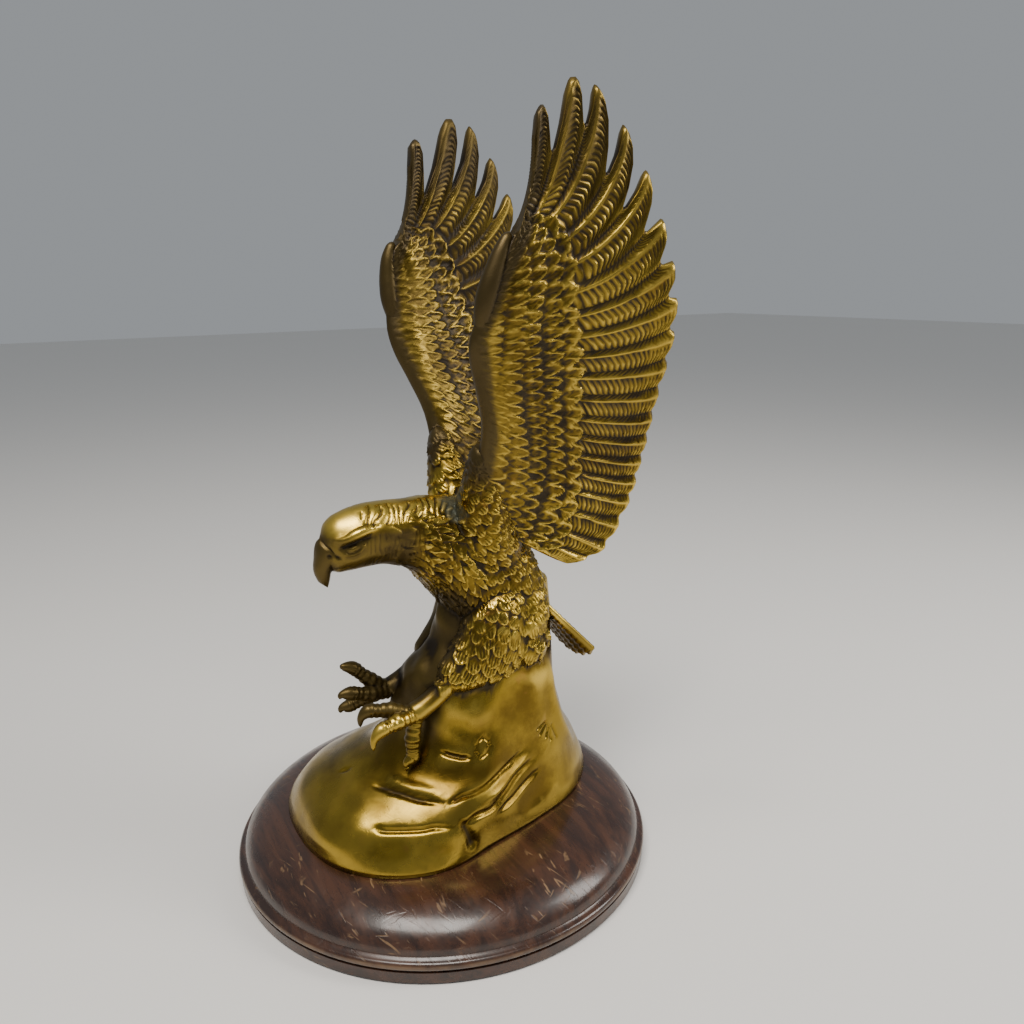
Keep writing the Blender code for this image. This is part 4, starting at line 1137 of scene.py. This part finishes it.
# Tarnish and painted shade: the dark film darkens the brass, less where the edges are rubbed.
tarnish_and_shade_amount = times(tree, dark_film_and_shade, ranged(tree, edge_rub, 0.0, 1.0, 0.95, 0.55))
colour = mixed(tree, tarnish_and_shade_amount, colour, BRASS_TARNISH_AND_SHADE)
colour = mixed(tree, times(tree, hollow, 0.93), colour, BRASS_HOLLOW)
mended = times(tree, mend, ranged(tree, blotch, 0.3, 0.5))
colour = mixed(tree, times(tree, mended, 0.8), colour, SOLDER_GREY)
tree.links.new(colour, shader.inputs["Base Color"])
dull = combined(tree, "MAXIMUM", times(tree, hollow, 0.8), times(tree, tarnish_and_shade_amount, 0.6))
dull = combined(tree, "MAXIMUM", dull, mended)
tree.links.new(ranged(tree, dull, 0.0, 1.0, 1.0, 0.55), shader.inputs["Metallic"])
rough = ranged(tree, handled.outputs["Smudges"], 0.0, 1.0, 0.22, 0.36)
rough = combined(tree, "ADD", rough, times(tree, dull, 0.26))
tree.links.new(rough, shader.inputs["Roughness"])
values = {"Height": handled.outputs["Scratches"], "Strength": 0.12, "Distance": 0.0001}
bump = add_node(tree, "Bump", values, invert=True)
values = {"Height": stroke, "Strength": 0.22, "Distance": 0.00025, "Normal": bump.outputs[0]}
chisel = add_node(tree, "Bump", values)
tree.links.new(chisel.outputs[0], shader.inputs["Normal"])
eagle.data.materials.clear()
eagle.data.materials.append(brass)
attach(eagle, "root")
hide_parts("eagle")

# The studio: a pale floor, a softbox overhead and one behind on the bird's left, and the camera where
# the photograph was taken from, level with the wings and looking down on the plinth.
FLOOR_SIZE = 8.0
FLOOR_PAPER = (0.82, 0.8, 0.77, 1)
ROOM_LIGHT = (0.72, 0.76, 0.8, 1)
ROOM_STRENGTH = 0.42
# Name, place, what it is aimed at, size, watts, colour
SOFTBOXES = (
    ("overhead_softbox", (0.25, -0.25, 0.95), (0, 0, 0.12), (0.55, 0.4), 9.0, (1.0, 0.95, 0.88)),
    ("side_softbox", (0.45, 0.65, 0.55), (0, 0, 0.15), (0.3, 0.5), 4.0, (1.0, 0.97, 0.92)),
)
bpy.ops.object.select_all(action="DESELECT")
bpy.ops.mesh.primitive_plane_add(size=FLOOR_SIZE, location=(0, 0, 0))
floor = bpy.context.object
floor.name = "studio_floor"
paper = bpy.data.materials.new("studio_paper")
paper.use_nodes = True
paper.node_tree.nodes["Principled BSDF"].inputs["Base Color"].default_value = FLOOR_PAPER
paper.node_tree.nodes["Principled BSDF"].inputs["Roughness"].default_value = 0.9
floor.data.materials.append(paper)

world = bpy.data.worlds.new("studio")
bpy.context.scene.world = world
world.use_nodes = True
world.node_tree.nodes["Background"].inputs["Color"].default_value = ROOM_LIGHT
world.node_tree.nodes["Background"].inputs["Strength"].default_value = ROOM_STRENGTH

CAMERA_PLACE = (0.314, -0.1438, 0.243)
CAMERA_RIGHT = (0.5, 0.866, 0.0)
CAMERA_UP = (-0.2256, 0.1302, 0.9655)
CAMERA_ROLL = radians(-0.8)
SENSOR_WIDTH = 36
LENS_PIXELS = 870
FRAME_PIXELS = 1024


def standing(right, up, back, place):
    """The matrix of a lamp or camera from its three directions and its place."""
    return Matrix([[right[i], up[i], back[i], place[i]] for i in range(3)] + [[0, 0, 0, 1]])


def area_light(name, place, aim, size, power, colour):
    lamp = bpy.data.lights.new(name, "AREA")
    lamp.shape = "RECTANGLE"
    lamp.size, lamp.size_y = size
    lamp.energy = power
    lamp.color = colour
    holder = in_scene(name, lamp)
    back = np.array(place, float) - np.array(aim, float)
    back /= np.linalg.norm(back)
    right = np.cross((0.0, 0.0, 1.0), back)
    right /= np.linalg.norm(right)
    holder.matrix_world = standing(right, np.cross(back, right), back, place)


for softbox in SOFTBOXES:
    area_light(*softbox)

level, upright = np.array(CAMERA_RIGHT), np.array(CAMERA_UP)
right = np.cos(CAMERA_ROLL) * level + np.sin(CAMERA_ROLL) * upright
up = np.cos(CAMERA_ROLL) * upright - np.sin(CAMERA_ROLL) * level
lens = bpy.data.cameras.new("photo_camera")
lens.sensor_width = SENSOR_WIDTH
lens.lens = LENS_PIXELS / FRAME_PIXELS * SENSOR_WIDTH
lens.clip_start = 0.01
camera = in_scene("photo_camera", lens)
camera.matrix_world = standing(right, up, np.cross(right, up), CAMERA_PLACE)
bpy.context.scene.camera = camera
